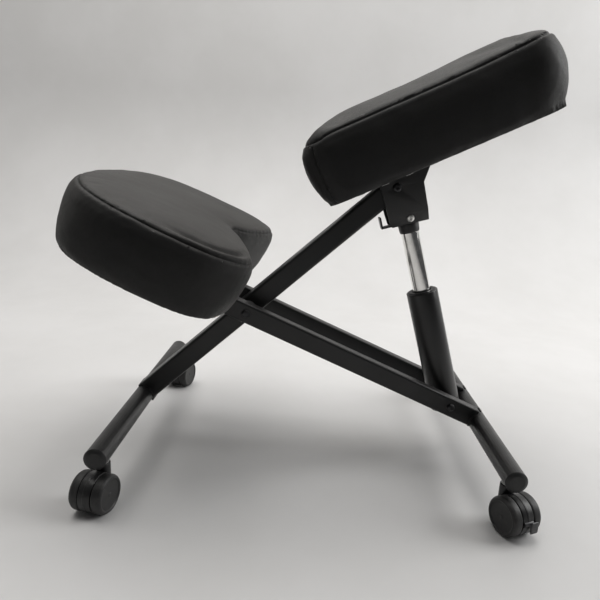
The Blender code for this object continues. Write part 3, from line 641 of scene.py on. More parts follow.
def cushion(name, node, body, matrix, top_loop, low_loop, seam_z, profile, crown, pocket, front, seams_at, seed,
            fold=None, cap=0.0055, low_wave=0.0008, thin=None):
    """Foam and its sewn cover.

    top_loop and low_loop are the outlines at the seam and at the bottom, with
    matching points.  profile gives, for each zone of the outline, how far the
    side stands out at each height; crown how the top rises with the distance
    from the seam.
    """
    count = len(top_loop)
    nt = normals2(top_loop)
    levels = sorted({z for table in profile for z, _ in table})
    levels = [z for z in levels if z < 0.0765] + [0.0]
    rows = []
    zs = sorted(set([-0.0010, 0.0012, 0.0030, 0.006, 0.011, 0.017, 0.026, 0.036, 0.046, 0.056, 0.064, 0.070, 0.0745]))
    top_z = seam_z
    zs = [z for z in zs if z < top_z.min() - 0.002]
    zones = front(top_loop)                         # weights of each zone, one row per outline point
    for z in zs + [None]:
        zz = np.full(count, z) if z is not None else top_z
        u = zz / top_z
        off = np.zeros(count)
        for w, table in zip(zones, profile):
            t = np.array(table)
            off += w * np.interp(zz if z is not None else np.full(count, t[-1, 0]), t[:, 0], t[:, 1])
        xy = low_loop * (1 - u)[:, None] + top_loop * u[:, None] + nt * off[:, None]
        rows.append(np.column_stack([xy, zz]))
    seam = rows[-1]
    co = np.vstack(rows)
    faces = []
    for k in range(len(rows) - 1):
        for i in range(count):
            j = (i + 1) % count
            faces.append((k * count + i, k * count + j, (k + 1) * count + j, (k + 1) * count + i))
    faces.append(tuple(reversed(range(count))))
    faces.append(tuple(range((len(rows) - 1) * count, len(rows) * count)))
    ob = from_arrays(name, co, faces)
    SCENE.collection.objects.link(ob)
    bm = bmesh.new()
    bm.from_mesh(ob.data)
    bmesh.ops.triangulate(bm, faces=[f for f in bm.faces if len(f.verts) > 4])
    bmesh.ops.recalc_face_normals(bm, faces=bm.faces)
    bm.to_mesh(ob.data)
    bm.free()
    rem = ob.modifiers.new("remesh", 'REMESH')
    rem.mode = 'VOXEL'
    rem.voxel_size = 0.005
    applied(ob)
    me = ob.data
    n = len(me.vertices)
    p = np.empty(n * 3)
    me.vertices.foreach_get("co", p)
    p = p.reshape(-1, 3)
    # distance from the top seam, negative on the side panel
    ds, near = seg_distance(p, seam)
    loop2 = seam[:, :2]
    d2, near2 = seg_distance(p[:, :2], loop2)
    ins = inside(p[:, :2], loop2)
    zseam = seam[near, 2]
    top = ins & (p[:, 2] > zseam - 0.0012) & (p[:, 2] > 0.05)
    rise = np.interp(d2, crown[:, 0], crown[:, 1])
    if thin is not None:
        rise = rise * np.interp(p[:, 0], thin[0], thin[1])
    lift = np.where(ins, rise, 0.0) * np.interp(p[:, 2] - zseam, [-0.0030, -0.0008], [0, 1]) * (p[:, 2] > 0.05)
    signed = np.where(ins, d2, -d2) - (zseam - p[:, 2])
    signed[p[:, 2] < 0.05] = -0.05
    near_edge = ds < 0.014
    s = np.where(near_edge, signed, np.where(signed > 0, np.maximum(ds, 0.010), -np.maximum(ds, 0.010)))
    p[:, 2] += lift
    # under side: a pocket that the board fills
    dlow, _ = seg_distance(p[:, :2], low_loop)
    inlow = inside(p[:, :2], low_loop)
    under = inlow & (p[:, 2] < 0.0030) & (dlow > 0.0045)
    p[under, 2] = np.interp(dlow[under], [0.0045, 0.0060, 0.0340, 0.0360], [p[under, 2].min(), HEM, HEM, 0.0060])
    hem = np.where(inlow & (p[:, 2] < 0.0070), dlow, -1.0)
    # vertical seams on the side panel
    t = np.full(n, 0.05)
    for at in seams_at:
        line = np.array([[*(r[at])] for r in rows])
        dt, _ = seg_distance(p, line, closed=False)
        side = np.sign((p[:, :2] - line[-1, :2]) @ np.array([-nt[at, 1], nt[at, 0]]))
        side[side == 0] = 1
        t = np.where(~top & (dt < np.abs(t)), dt * side, t)
    me.vertices.foreach_set("co", p.ravel())
    for attr, val in (("s", s), ("t", t), ("hem", hem)):
        a = me.attributes.new(attr, 'FLOAT', 'POINT')
        a.data.foreach_set("value", val.astype(np.float32))
    me.update()
    rest = p.copy()
    pin = ob.vertex_groups.new(name="pin")
    w = np.interp(p[:, 2], [0.006, 0.016], [1.0, 0.0])
    w = np.maximum(w, np.interp(np.abs(s), [0.003, 0.008], [0.55, 0.0]))
    w = np.maximum(w, np.interp(np.abs(t), [0.003, 0.008], [0.45, 0.0]))
    for k in range(n):
        if w[k] > 0.01:
            pin.add([k], float(w[k]), 'REPLACE')
    c = ob.modifiers.new("cloth", 'CLOTH')
    st = c.settings
    st.quality = 5
    st.mass = 0.35
    st.tension_stiffness = st.compression_stiffness = 22
    st.shear_stiffness = 10
    st.bending_stiffness = 6
    st.use_pressure = True
    st.uniform_pressure_force = 4.0
    st.vertex_group_mass = "pin"
    st.pin_stiffness = 1.0
    st.effector_weights.gravity = 0.0
    c.collision_settings.use_collision = False
    c.point_cache.frame_start = 1
    c.point_cache.frame_end = 20
    for f in range(1, 21):
        SCENE.frame_set(f)
    applied(ob)
    SCENE.frame_set(1)
    me = ob.data
    q = np.empty(n * 3)
    me.vertices.foreach_get("co", q)
    q = q.reshape(-1, 3)
    move = q - rest
    ln = np.linalg.norm(move, axis=1)
    scale = np.where(ln > 1e-9, cap * np.tanh(ln / cap) / np.maximum(ln, 1e-9), 0)
    move *= scale[:, None]
    move *= np.interp(rest[:, 2], [0.0025, 0.0120], [0, 1])[:, None]
    print("cloth", name, n, "moved mm: mean %.2f max %.2f" % (1000 * np.linalg.norm(move, axis=1).mean(),
                                                            1000 * np.linalg.norm(move, axis=1).max()))
    me.vertices.foreach_set("co", (rest + move).ravel())
    me.update()
    ob.vertex_groups.clear()
    sub = ob.modifiers.new("subdivision", 'SUBSURF')
    sub.levels = sub.render_levels = 1
    applied(ob)
    me = ob.data
    bm = bmesh.new()
    bm.from_mesh(me)
    layers = [bm.verts.layers.float["s"], bm.verts.layers.float["t"], bm.verts.layers.float["hem"]]
    for lv in (0.0, 0.0011, -0.0011, 0.0023, -0.0023, 0.0042, -0.0042):
        iso_cut(bm, layers, 0, lv)
    if seams_at:
        for lv in (0.0, 0.0011, -0.0011, 0.0023, -0.0023, 0.0042, -0.0042):
            iso_cut(bm, layers, 1, lv)
    for lv in (0.0318, 0.0325):
        iso_cut(bm, layers, 2, lv)
    for f in bm.faces:
        f.smooth = True
    bmesh.ops.triangulate(bm, faces=[f for f in bm.faces if len(f.verts) > 4])
    bm.normal_update()
    n = len(bm.verts)
    co = np.array([v.co for v in bm.verts])
    no = np.array([v.normal for v in bm.verts])
    s = np.array([v[layers[0]] for v in bm.verts])
    t = np.array([v[layers[1]] for v in bm.verts])
    hem = np.array([v[layers[2]] for v in bm.verts])
    side_t = np.where(s < 0.0005, t, 0.05)
    # groove with a rolled shoulder on both sides, and puckers where the thread pulls
    def groove(x, depth):
        return -depth * np.exp(-(x / 0.00125) ** 2) + 0.00040 * np.exp(-((np.abs(x) - 0.0060) / 0.0034) ** 2)
    h = groove(s, 0.0014) + groove(side_t, 0.0013)
    _, ni = seg_distance(co[:, :2], loop2)
    length = np.concatenate([[0], np.cumsum(np.linalg.norm(np.roll(loop2, -1, 0) - loop2, axis=1))])[ni]
    pucker = np.sin(length * 2 * pi / 0.0093 + 1.7 * np.sin(length * 41.0)) * (0.6 + 0.4 * np.sin(length * 17.0 + seed))
    h += 0.00012 * pucker * np.exp(-((np.abs(s) - 0.0040) / 0.0028) ** 2)
    # slow unevenness of the foam, short soft folds that climb from the bottom edge
    h += 0.00030 * wave(co, seed, 9.0) + 0.00018 * wave(co, seed + 1, 34.0)
    foot = np.exp(-(co[:, 2] / 0.016) ** 2) * (s < 0)
    h += foot * 0.00075 * np.sin(length * 2 * pi / 0.031 + 2.2 * np.sin(length * 23 + seed)) * (0.5 + 0.5 * np.sin(length * 11 + 2 * seed))
    if fold is not None:
        h += fold(co, s, length)
    inner = hem > 0.0045
    h[inner] = 0
    # the cover's hem lies flat under the board, gathered in small pleats, and ends in a cut edge
    pleat = np.clip(np.sin(length * 2 * pi / 0.0118 + 3.0 * np.sin(length * 19.0 + seed)), 0, 1) ** 2
    edge = 0.0318 + 0.0016 * np.sin(length * 2 * pi / 0.047 + seed)
    co[:, 2] = np.where(inner, np.where(hem < 0.0322, HEM - 0.0007 * pleat * np.clip((hem - 0.005) / 0.01, 0, 1), 0.0060), co[:, 2])
    co = co + no * h[:, None]
    # the lower edge isn't quite straight
    co[:, 2] += np.where(inner, 0, low_wave * np.sin(length * 2 * pi / 0.085 + seed) * np.exp(-(co[:, 2] / 0.012) ** 2)) * (s < 0)
    for v, c in zip(bm.verts, co):
        v.co = c
    # distance to the nearest seam, kept for the cover material to paint shade along the seams
    near_seam = np.minimum(np.abs(s), np.abs(side_t))
    lay = bm.verts.layers.float.new("seam")
    for v, x in zip(bm.verts, near_seam):
        v[lay] = float(x)
    bmesh.ops.transform(bm, matrix=matrix, verts=bm.verts)
    bmesh.ops.recalc_face_normals(bm, faces=bm.faces)
    bm.to_mesh(me)
    bm.free()
    for attr in ("s", "t", "hem"):
        if attr in me.attributes:
            me.attributes.remove(me.attributes[attr])
    me.shade_smooth()
    give(ob, M_COVER)
    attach(ob, body)
    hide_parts(node)
    return ob, seam


def rounded_loop(x0, x1, half, r0, r1, bow, step=0.0045):
    """Counter-clockwise rectangle with corner radii r0 at x0 and r1 at x1, its sides a little full."""
    pts = []
    for cx, cy, r, a0 in ((x1 - r1, half - r1, r1, 0), (x0 + r0, half - r0, r0, 90),
                          (x0 + r0, -half + r0, r0, 180), (x1 - r1, -half + r1, r1, 270)):
        for i in range(13):
            a = radians(a0 + 7.5 * i)
            pts.append((cx + r * cos(a), cy + r * sin(a)))
    loop = np.array(pts)
    per = np.linalg.norm(np.roll(loop, -1, 0) - loop, axis=1).sum()
    loop = resample(loop, int(per / step))
    nx = (loop[:, 0] - (x0 + x1) / 2) / ((x1 - x0) / 2)
    ny = loop[:, 1] / half
    fx = np.sign(nx) * bow * np.clip(np.abs(nx), 0, 1) ** 6 * (1 - ny ** 2).clip(0, 1)
    fy = np.sign(ny) * bow * np.clip(np.abs(ny), 0, 1) ** 6 * (1 - nx ** 2).clip(0, 1)
    return loop + np.column_stack([fx, fy])


SEAT_L, SEAT_W = 0.3100, 0.2130
seat_low = rounded_loop(0, SEAT_L, SEAT_W, 0.028, 0.040, 0.0032)
seat_top = seat_low.copy()


def seat_zones(loop):
    x = loop[:, 0]
    y = np.abs(loop[:, 1])
    f = np.clip((0.030 - x) / 0.022, 0, 1) * np.clip((SEAT_W - 0.004 - y) / 0.016, 0, 1)
    r = np.clip((x - (SEAT_L - 0.055)) / 0.035, 0, 1)
    return [1 - np.maximum(f, r), f, r]


seat_profile = (
    ((-0.001, -0.0040), (0.0030, -0.0008), (0.011, 0.0010), (0.026, 0.0026), (0.046, 0.0034), (0.064, 0.0016), (0.0775, -0.0036)),
    ((-0.001, -0.0068), (0.0030, -0.0030), (0.011, 0.0010), (0.026, 0.0042), (0.050, 0.0064), (0.064, 0.0058), (0.0775, -0.0030)),
    ((-0.001, -0.0115), (0.0030, -0.0072), (0.014, -0.0004), (0.030, 0.0060), (0.046, 0.0084), (0.060, 0.0080), (0.072, 0.0052), (0.0785, 0.0012)),
)
seat_seam_z = 0.0775 - 0.0035 * np.exp(-(((seat_top[:, 0] - 0.010) / 0.016) ** 2)) * (np.abs(seat_top[:, 1]) > 0.15)
seat_seam_z += 0.0046 * np.clip((seat_top[:, 0] - 0.160) / 0.140, 0, 1) ** 2
CROWN_D = np.linspace(0, 0.25, 60)
seat_crown = np.column_stack([CROWN_D, 0.0150 * (1 - np.exp(-CROWN_D / 0.0125)) + 0.0040 * (1 - np.exp(-CROWN_D / 0.07))])
front_corners = [int(np.argmin(np.linalg.norm(seat_top - np.array([0.0070, sy * (SEAT_W - 0.0070)]), axis=1)))
                 for sy in (-1, 1)]
seat_piece, seat_seam = cushion("seat_pad", "seat_cushion", "seat", F_SEAT, seat_top, seat_low, seat_seam_z,
                                seat_profile, seat_crown, None, seat_zones, front_corners, 11,
                                thin=((0.04, 0.15), (1.0, 0.89)))

knee_half_top = [(-.1965, 0), (-.1935, .070), (-.1815, .139), (-.149, .195), (-.093, .2235), (-.032, .2325), (.011, .2310),
                 (.032, .2270), (.053, .2160), (.072, .195), (.0785, .168), (.0730, .134), (.0620, .092), (.0450, .046),
                 (.0235, 0)]
knee_half_low = [(-.194, 0), (-.191, .069), (-.179, .137), (-.147, .192), (-.092, .2195), (-.032, .2280), (.007, .2262),
                 (.029, .2205), (.046, .2085), (.0605, .189), (.069, .158), (.0690, .129), (.060, .090), (.0440, .046),
                 (.0235, 0)]


def both_sides(half):
    full = half + [(x, -y) for x, y in reversed(half[1:-1])]
    return catmull(list(reversed(full)), 12)


k_top, k_low = both_sides(knee_half_top), both_sides(knee_half_low)
pair = resample(np.hstack([k_top, k_low]), 310)
knee_top, knee_low = pair[:, :2], pair[:, 2:]


def knee_zones(loop):
    notch = np.clip((loop[:, 0] - 0.015) / 0.03, 0, 1) * np.clip((0.150 - np.abs(loop[:, 1])) / 0.03, 0, 1)
    return [1 - notch, notch]


knee_profile = (
    ((-0.001, -0.0050), (0.0030, -0.0016), (0.011, 0.0010), (0.026, 0.0034), (0.050, 0.0046), (0.070, 0.0030), (0.085, -0.0036)),
    ((-0.001, -0.0040), (0.0030, -0.0010), (0.011, 0.0002), (0.026, 0.0010), (0.050, 0.0012), (0.070, 0.0000), (0.085, -0.0034)),
)
knee_seam_z = np.full(len(knee_top), 0.0845)
knee_crown = np.column_stack([CROWN_D, 0.0090 * (1 - np.exp(-CROWN_D / 0.0125)) + 0.0012 * (1 - np.exp(-CROWN_D / 0.06))])


def knee_fold(co, s, length):
    """Furrow along the seam on the top of each lobe, where the cover is pulled round the tight curve."""
    along = np.clip((co[:, 0] + 0.075) / 0.07, 0, 1) ** 1.5 * np.clip((0.085 - co[:, 0]) / 0.03, 0, 1)
    far = np.where(co[:, 1] < 0, 1.0, 0.40)
    outer = np.clip((np.abs(co[:, 1]) - 0.140) / 0.03, 0, 1)
    k = along * outer * far * (s > 0)
    return k * (-0.0042 * np.exp(-((s - 0.0145) / 0.0048) ** 2) + 0.0016 * np.exp(-((s - 0.0062) / 0.0036) ** 2))


knee_piece, knee_seam = cushion("knee_pad", "knee_cushion", "arm_frame", F_PAD, knee_top, knee_low, knee_seam_z,
                                knee_profile, knee_crown, None, knee_zones, [], 23, fold=knee_fold, low_wave=0.0011)

# ------------------------------------------- dust covers, staples, fixings
TOP_E = ((0.3885 - 0.2806) * cos(SEAT_ANGLE) + (0.4395 - 0.4163) * sin(SEAT_ANGLE))


def ray_out(centre, angle, loop):
    """Distance from centre along angle to the outline."""
    d = np.array([cos(angle), sin(angle)])
    a = loop - centre
    b = np.roll(loop, -1, 0) - centre
    e = b - a
    den = d[0] * e[:, 1] - d[1] * e[:, 0]
    den = np.where(np.abs(den) < 1e-12, 1e-12, den)
    t = (a[:, 0] * e[:, 1] - a[:, 1] * e[:, 0]) / den
    u = (a[:, 0] * d[1] - a[:, 1] * d[0]) / den
    ok = (t > 0) & (u >= 0) & (u <= 1)
    return t[ok].max()


def inset_loop(loop, d):
    return loop - normals2(loop) * d


def dust_cover(name, loop, centre, hole, matrix, body, press, seed):
    """Thin spun sheet stretched under a board, its cut edge a little wavy."""
    count, rings = 240, 16
    centre = np.array(centre)
    outer = inset_loop(loop, 0.0230)
    co = []
    for k in range(rings + 1):
        f = k / rings
        for i in range(count):
            a = 2 * pi * i / count
            r1 = ray_out(centre, a, outer) + 0.0007 * sin(9 * a + seed) + 0.0004 * sin(31 * a)
            if hole is not None:
                hx, hy = hole
                c, s_ = abs(cos(a)), abs(sin(a))
                r0 = min(hx / max(c, 1e-9), hy / max(s_, 1e-9))
            else:
                r0 = 0.0
            r = r0 + (r1 - r0) * f ** 0.8
            x, y = centre[0] + r * cos(a), centre[1] + r * sin(a)
            z = -0.0008 - 0.0014 * np.clip((f - 0.55) / 0.2, 0, 1)
            z -= 0.0004 * (1 + sin(7 * a + 2 * f + seed)) * 4 * f * (1 - f)
            co.append([x, y, z])
    co = np.array(co)
    if press is not None:
        co[:, 2] = press(co)
    faces = []
    for k in range(rings):
        for i in range(count):
            j = (i + 1) % count
            faces.append((k * count + i, k * count + j, (k + 1) * count + j, (k + 1) * count + i))
    ob = from_arrays(name, co, faces)
    if hole is None:
        bm = bmesh.new()
        bm.from_mesh(ob.data)
        bmesh.ops.remove_doubles(bm, verts=bm.verts, dist=1e-6)
        bm.to_mesh(ob.data)
        bm.free()
    SCENE.collection.objects.link(ob)
    sol = ob.modifiers.new("thickness", 'SOLIDIFY')
    sol.thickness = 0.0004
    sol.offset = 0
    applied(ob)
    bm = bmesh.new()
    bm.from_mesh(ob.data)
    bmesh.ops.recalc_face_normals(bm, faces=bm.faces)
    cut = bmesh.ops.duplicate
    area_ = sum(f.calc_area() for f in bm.faces) / 2
    bm.to_mesh(ob.data)
    bm.free()
    ob.data.transform(matrix)
    ob.data.shade_smooth()
    ob.data.set_sharp_from_angle(angle=radians(50))
    give(ob, M_FELT)
    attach(ob, body)
    return ob


def arm_press(co):
    """Lift what lies over the two arms, where the board is bolted down onto them."""
    y = np.abs(co[:, 1])
    k = np.clip((y - 0.0290) / 0.005, 0, 1) * np.clip((0.0630 - y) / 0.005, 0, 1)
    return co[:, 2] * (1 - k) + k * np.maximum(co[:, 2], -0.0003)


seat_dust = dust_cover("seat_dust_cover", seat_low, (TOP_E + 0.026, 0), (0.0845, 0.0770), F_SEAT, "seat", None,
                       0.4)
knee_dust = dust_cover("knee_dust_cover", knee_low, (-0.070, 0), None, F_PAD, "arm_frame", arm_press, 1.9)


def staples(name, loop, matrix, body, pitch, seed, skip=None):
    """Wire staples through the dust cover and the hem, each a flat bar with bent ends."""
    rng = np.random.default_rng(seed)
    line = inset_loop(loop, 0.0275)
    per = np.linalg.norm(np.roll(line, -1, 0) - line, axis=1).sum()
    pts = resample(line, int(per / pitch))
    nn = normals2(pts)
    co, faces = [], []
    for p, n_ in zip(pts, nn):
        if skip is not None and skip(p):
            continue
        t = np.array([-n_[1], n_[0]])
        a = rng.uniform(-0.22, 0.22)
        t = np.array([t[0] * cos(a) - t[1] * sin(a), t[0] * sin(a) + t[1] * cos(a)])
        u = np.array([-t[1], t[0]])
        mid = p + n_ * rng.uniform(-0.0012, 0.0012)
        z0 = -0.0030
        prof = [(-0.0050, 0.0016), (-0.0049, 0.0004), (-0.0043, 0.0), (0.0043, 0.0), (0.0049, 0.0004), (0.0050, 0.0016)]
        base = len(co)
        for sx_, sz_ in prof:
            for du, dz_ in ((-0.00055, 0.0), (-0.0003, -0.0003), (0.0003, -0.0003), (0.00055, 0.0), (0.0, 0.00025)):
                q = mid + t * sx_ + u * du
                co.append((q[0], q[1], z0 + sz_ + dz_))
        for k in range(len(prof) - 1):
            for i in range(5):
                j = (i + 1) % 5
                faces.append((base + 5 * k + i, base + 5 * k + j, base + 5 * k + 5 + j, base + 5 * k + 5 + i))
        faces.append(tuple(base + i for i in reversed(range(5))))
        faces.append(tuple(base + 5 * (len(prof) - 1) + i for i in range(5)))
    return link(from_arrays(name, co, faces, matrix), M_STEEL, body, 40)


staples("seat_staples", seat_low, F_SEAT, "seat", 0.031, 3)
staples("knee_staples", knee_low, F_PAD, "arm_frame", 0.030, 5, skip=lambda p: 0.029 < abs(p[1]) < 0.063)


def pan_head(name, matrix, r, h, m, body, recess=0.0022):
    """A low round head with a hexagon socket, its seat at z = 0 and the head rising along +Z."""
    ob = lathe(name, [(0, -0.0010), (r * 0.6, -0.0010), (r, 0.0, 0.0002), (r, h * 0.30, 0.0006), (r * 0.62, h * 0.95, 0.0012), (0, h)],
               Matrix.Identity(4), m, None, 48)
    me = bpy.data.meshes.new("socket")
    six = [(recess * cos(pi / 3 * i), recess * sin(pi / 3 * i)) for i in range(6)]
    me.from_pydata([(x, y, h - 0.0016) for x, y in six] + [(x, y, h + 0.003) for x, y in six], [],
                   [tuple(reversed(range(6))), tuple(range(6, 12))] + [(i, (i + 1) % 6, 6 + (i + 1) % 6, 6 + i) for i in range(6)])
    tool = bpy.data.objects.new("socket", me)
    SCENE.collection.objects.link(tool)
    cut_with(ob, tool)
    ob.data.transform(matrix)
    ob.data.shade_smooth()
    ob.data.set_sharp_from_angle(angle=radians(35))
    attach(ob, body)
    return ob


DOWN = Matrix.Rotation(pi, 4, 'X')
for k, (sx, sy) in enumerate(((-1, -1), (1, -1), (1, 1), (-1, 1))):
    pan_head("plate_bolt_%d" % k, F_SEAT @ Matrix.Translation((TOP_E + 0.026 + sx * 0.068, sy * 0.060, -0.0033)) @ DOWN,
             0.0056, 0.0032, M_BOLT, "seat")
for k, (along, sy) in enumerate(((-0.118, -1), (-0.118, 1), (-0.020, -1), (-0.020, 1))):
    pan_head("knee_board_bolt_%d" % k, F_PAD @ Matrix.Translation((along, sy * 0.046, -0.0300)) @ DOWN, 0.0056, 0.0032,
             M_BOLT, "arm_frame")

# ------------------------------------------------------------------- welds


def bead(name, pts, r, body, seed, m=None):
    """A laid weld: a low ripple of overlapping ridges along a line."""
    pts = [Vector(p) for p in pts]
    total = sum((b - a).length for a, b in zip(pts, pts[1:]))
    steps = max(8, int(total / 0.0006))
    out, rad = [], []
    rng = np.random.default_rng(seed)
    phase = rng.uniform(0, 6)
    acc = [0.0]
    for a, b in zip(pts, pts[1:]):
        acc.append(acc[-1] + (b - a).length)
    for k in range(steps + 1):
        s_ = total * k / steps
        i = min(max(int(np.searchsorted(acc, s_)) - 1, 0), len(pts) - 2)
        f = (s_ - acc[i]) / max(acc[i + 1] - acc[i], 1e-9)
        out.append(pts[i].lerp(pts[i + 1], min(max(f, 0), 1)))
        rip = abs(sin(s_ * pi / 0.0026 + phase))
        end = min(1.0, (k + 0.4) / 4, (steps - k + 0.4) / 4)
        rad.append(r * (0.80 + 0.20 * rip) * end)
    return sweep(name, out, rad, m or M_FRAME, body, 14, True, 60)


ux, uz = cos(BEAM_ANGLE), sin(BEAM_ANGLE)
tube_front = Vector((X0, 0, TUBE_Z))
hit = math.sqrt((0.0150 + 0.0006) ** 2 - 0.0150 ** 2 * 0) 
for k, side in enumerate((-1, 1)):
    # along the joint of the beam's upper and lower faces with the front tube
    n_off = 0.0160 if side > 0 else -0.0160
    along = 0.0040
    c = tube_front + Vector((ux * along - uz * n_off, 0, uz * along + ux * n_off))
    bead("beam_weld_%d" % k, [c + Vector((0, -0.0170, 0)), c + Vector((0, 0.0170, 0))], 0.0019, "beam", 31 + k)
for k, sy in enumerate((-1, 1)):
    pts = []
    for i in range(9):
        a = -0.9 + 1.8 * i / 8
        pts.append(tube_front + Vector((ux * 0.0152 * cos(a) - uz * 0.0152 * sin(a), sy * 0.0192, uz * 0.0152 * cos(a) + ux * 0.0152 * sin(a))))
    bead("beam_side_weld_%d" % k, pts, 0.0016, "beam", 41 + k)
ax, az = -cos(ARM_ANGLE), sin(ARM_ANGLE)
tube_rear = Vector((XB, 0, TUBE_Z))
for k, (sy, face) in enumerate(((-1, -1), (-1, 1), (1, -1), (1, 1))):
    off = XN + face * 0.0150
    s0 = math.sqrt(max(0.0156 ** 2 - min(abs(off), 0.0150) ** 2, 0)) + 0.0008
    c = tube_rear + Vector((ax * s0 + sin(ARM_ANGLE) * off, 0, az * s0 + cos(ARM_ANGLE) * off))
    bead("arm_weld_%d" % k, [c + Vector((0, sy * 0.0375, 0)), c + Vector((0, sy * 0.0545, 0))], 0.0018, "arm_frame", 51 + k)
for k, sy in enumerate((-1, 1)):
    for j, face in enumerate((-1, 1)):
        pts = []
        for i in range(7):
            a = -0.8 + 1.6 * i / 6
            pts.append(tube_rear + Vector((ax * 0.0152 * cos(a) + sin(ARM_ANGLE) * 0.0152 * sin(a), sy * 0.046 + face * 0.0102,
                                           az * 0.0152 * cos(a) + cos(ARM_ANGLE) * 0.0152 * sin(a))))
        bead("arm_side_weld_%d%d" % (k, j), pts, 0.0014, "arm_frame", 61 + 2 * k + j)
for k, sy in enumerate((-1, 1)):
    a = F_SEAT @ Vector((TOP_E - 0.034, sy * 0.0262, -0.0038))
    b = F_SEAT @ Vector((TOP_E + 0.036, sy * 0.0262, -0.0038))
    bead("bracket_weld_%d" % k, [a, b], 0.0012, "seat", 71 + k, M_BRACKET)

# ------------------------------------------------- column, rod, hub, bushes
col_top, col_low = 0.1836, -0.0215
shell = lathe("column_tube", [(0.0222, col_top - 0.0016), (0.0222, col_top, 0.0004), (0.0250, col_top, 0.0011), (0.0250, col_low, 0.0010),
                              (0.0225, col_low), (0.0225, col_top - 0.0016)], F_COL, M_COLUMN, "column", 112, True)
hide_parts("gas_column")
collar = lathe("column_bush", [(0.0146, col_top - 0.002), (0.0146, col_top + 0.0006, 0.0004), (0.0168, col_top + 0.0014, 0.0006),
                               (0.0214, col_top + 0.0014, 0.0008), (0.0224, col_top + 0.0003, 0.0002), (0.0222, col_top - 0.0400),
                               (0.0143, col_top - 0.0400), (0.0143, col_top - 0.002)], F_COL, M_BUSH, "column", 96, True)
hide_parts("column_guide_bush")
rod = lathe("rod_bright", [(0, 0.3120), (0.0118, 0.3120, 0.0005), (0.0130, 0.3108, 0.0006), (0.0140, 0.2920, 0.004), (0.0140, 0.0960, 0.0010),
                           (0, 0.0960)], F_COL, M_CHROME, "seat", 128)
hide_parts("gas_rod")
hub_ = lathe("hub_collar", [(0.0143, 0.2815), (0.0150, 0.2815, 0.0004), (0.0158, 0.2840, 0.0010), (0.0166, 0.2952, 0.0006), (0.0160, 0.2960),
                            (0.0143, 0.2960)], F_COL, M_BRACKET, "seat", 96, True)
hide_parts("taper_hub")

# -------------------------------------------------------- bracket and plate
for node, w_, m_, b_ in (("seat_bracket", 0.0006, M_BRACKET, "seat"), ("seat_mount_plate", 0.0008, M_BRACKET, "seat")):
    softened(node, node.replace("seat_", "") + "_eased", w_, m_, b_)

# --------------------------------------------------------------- end caps
for node in [n_ for n_ in NODE if "_end_cap_" in n_]:
    end, where = node.split("_")[0], node.split("_")[-1]
    side = -1 if where == "near" else 1
    origin = Vector((X0 if end == "front" else XB, side * 0.2236, TUBE_Z))
    mt = Matrix.Translation(origin) @ Matrix.Rotation(-side * pi / 2, 4, 'X')
    body = "beam" if end == "front" else "arm_frame"
    ob = lathe("cap_" + end + "_" + where, [(0, 0.0042), (0.0102, 0.0040, 0.0014), (0.0134, 0.0024, 0.0020), (0.0151, 0.0010, 0.0006),
                                             (0.0151, 0.0003), (0.0131, 0.0003), (0.0131, -0.0120, 0.0008), (0, -0.0130)], mt, M_CAP, body, 80)
    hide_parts(node)

# ----------------------------------------------------------------- casters
WR = 0.0264
WHEEL_PROFILE = [(0, 0.0224), (0.0022, 0.0224, 0.0004), (0.0029, 0.0219, 0.0003), (0.0036, 0.0219), (0.0200, 0.0219, 0.0008),
                 (0.0209, 0.0229, 0.0005), (0.0222, 0.0235, 0.0006), (0.0239, 0.0229, 0.0008), (0.0256, 0.0207, 0.0012),
                 (0.0263, 0.0184, 0.0010), (0.0264, 0.0166, 0.0006), (0.0264, 0.0118, 0.0008), (0.0259, 0.0101, 0.0006),
                 (0.0252, 0.0098, 0.0004), (0.0206, 0.0098), (0.0040, 0.0098), (0.0033, 0.0102), (0.0033, 0.0198), (0, 0.0198)]
CASTERS = {"front_near": (X0, -1, 77.0), "front_far": (X0, 1, -104.0), "rear_near": (XB, -1, 113.0), "rear_far": (XB, 1, -113.0)}
NECK_TOP = 0.0785 - 0.015 - 0.0038


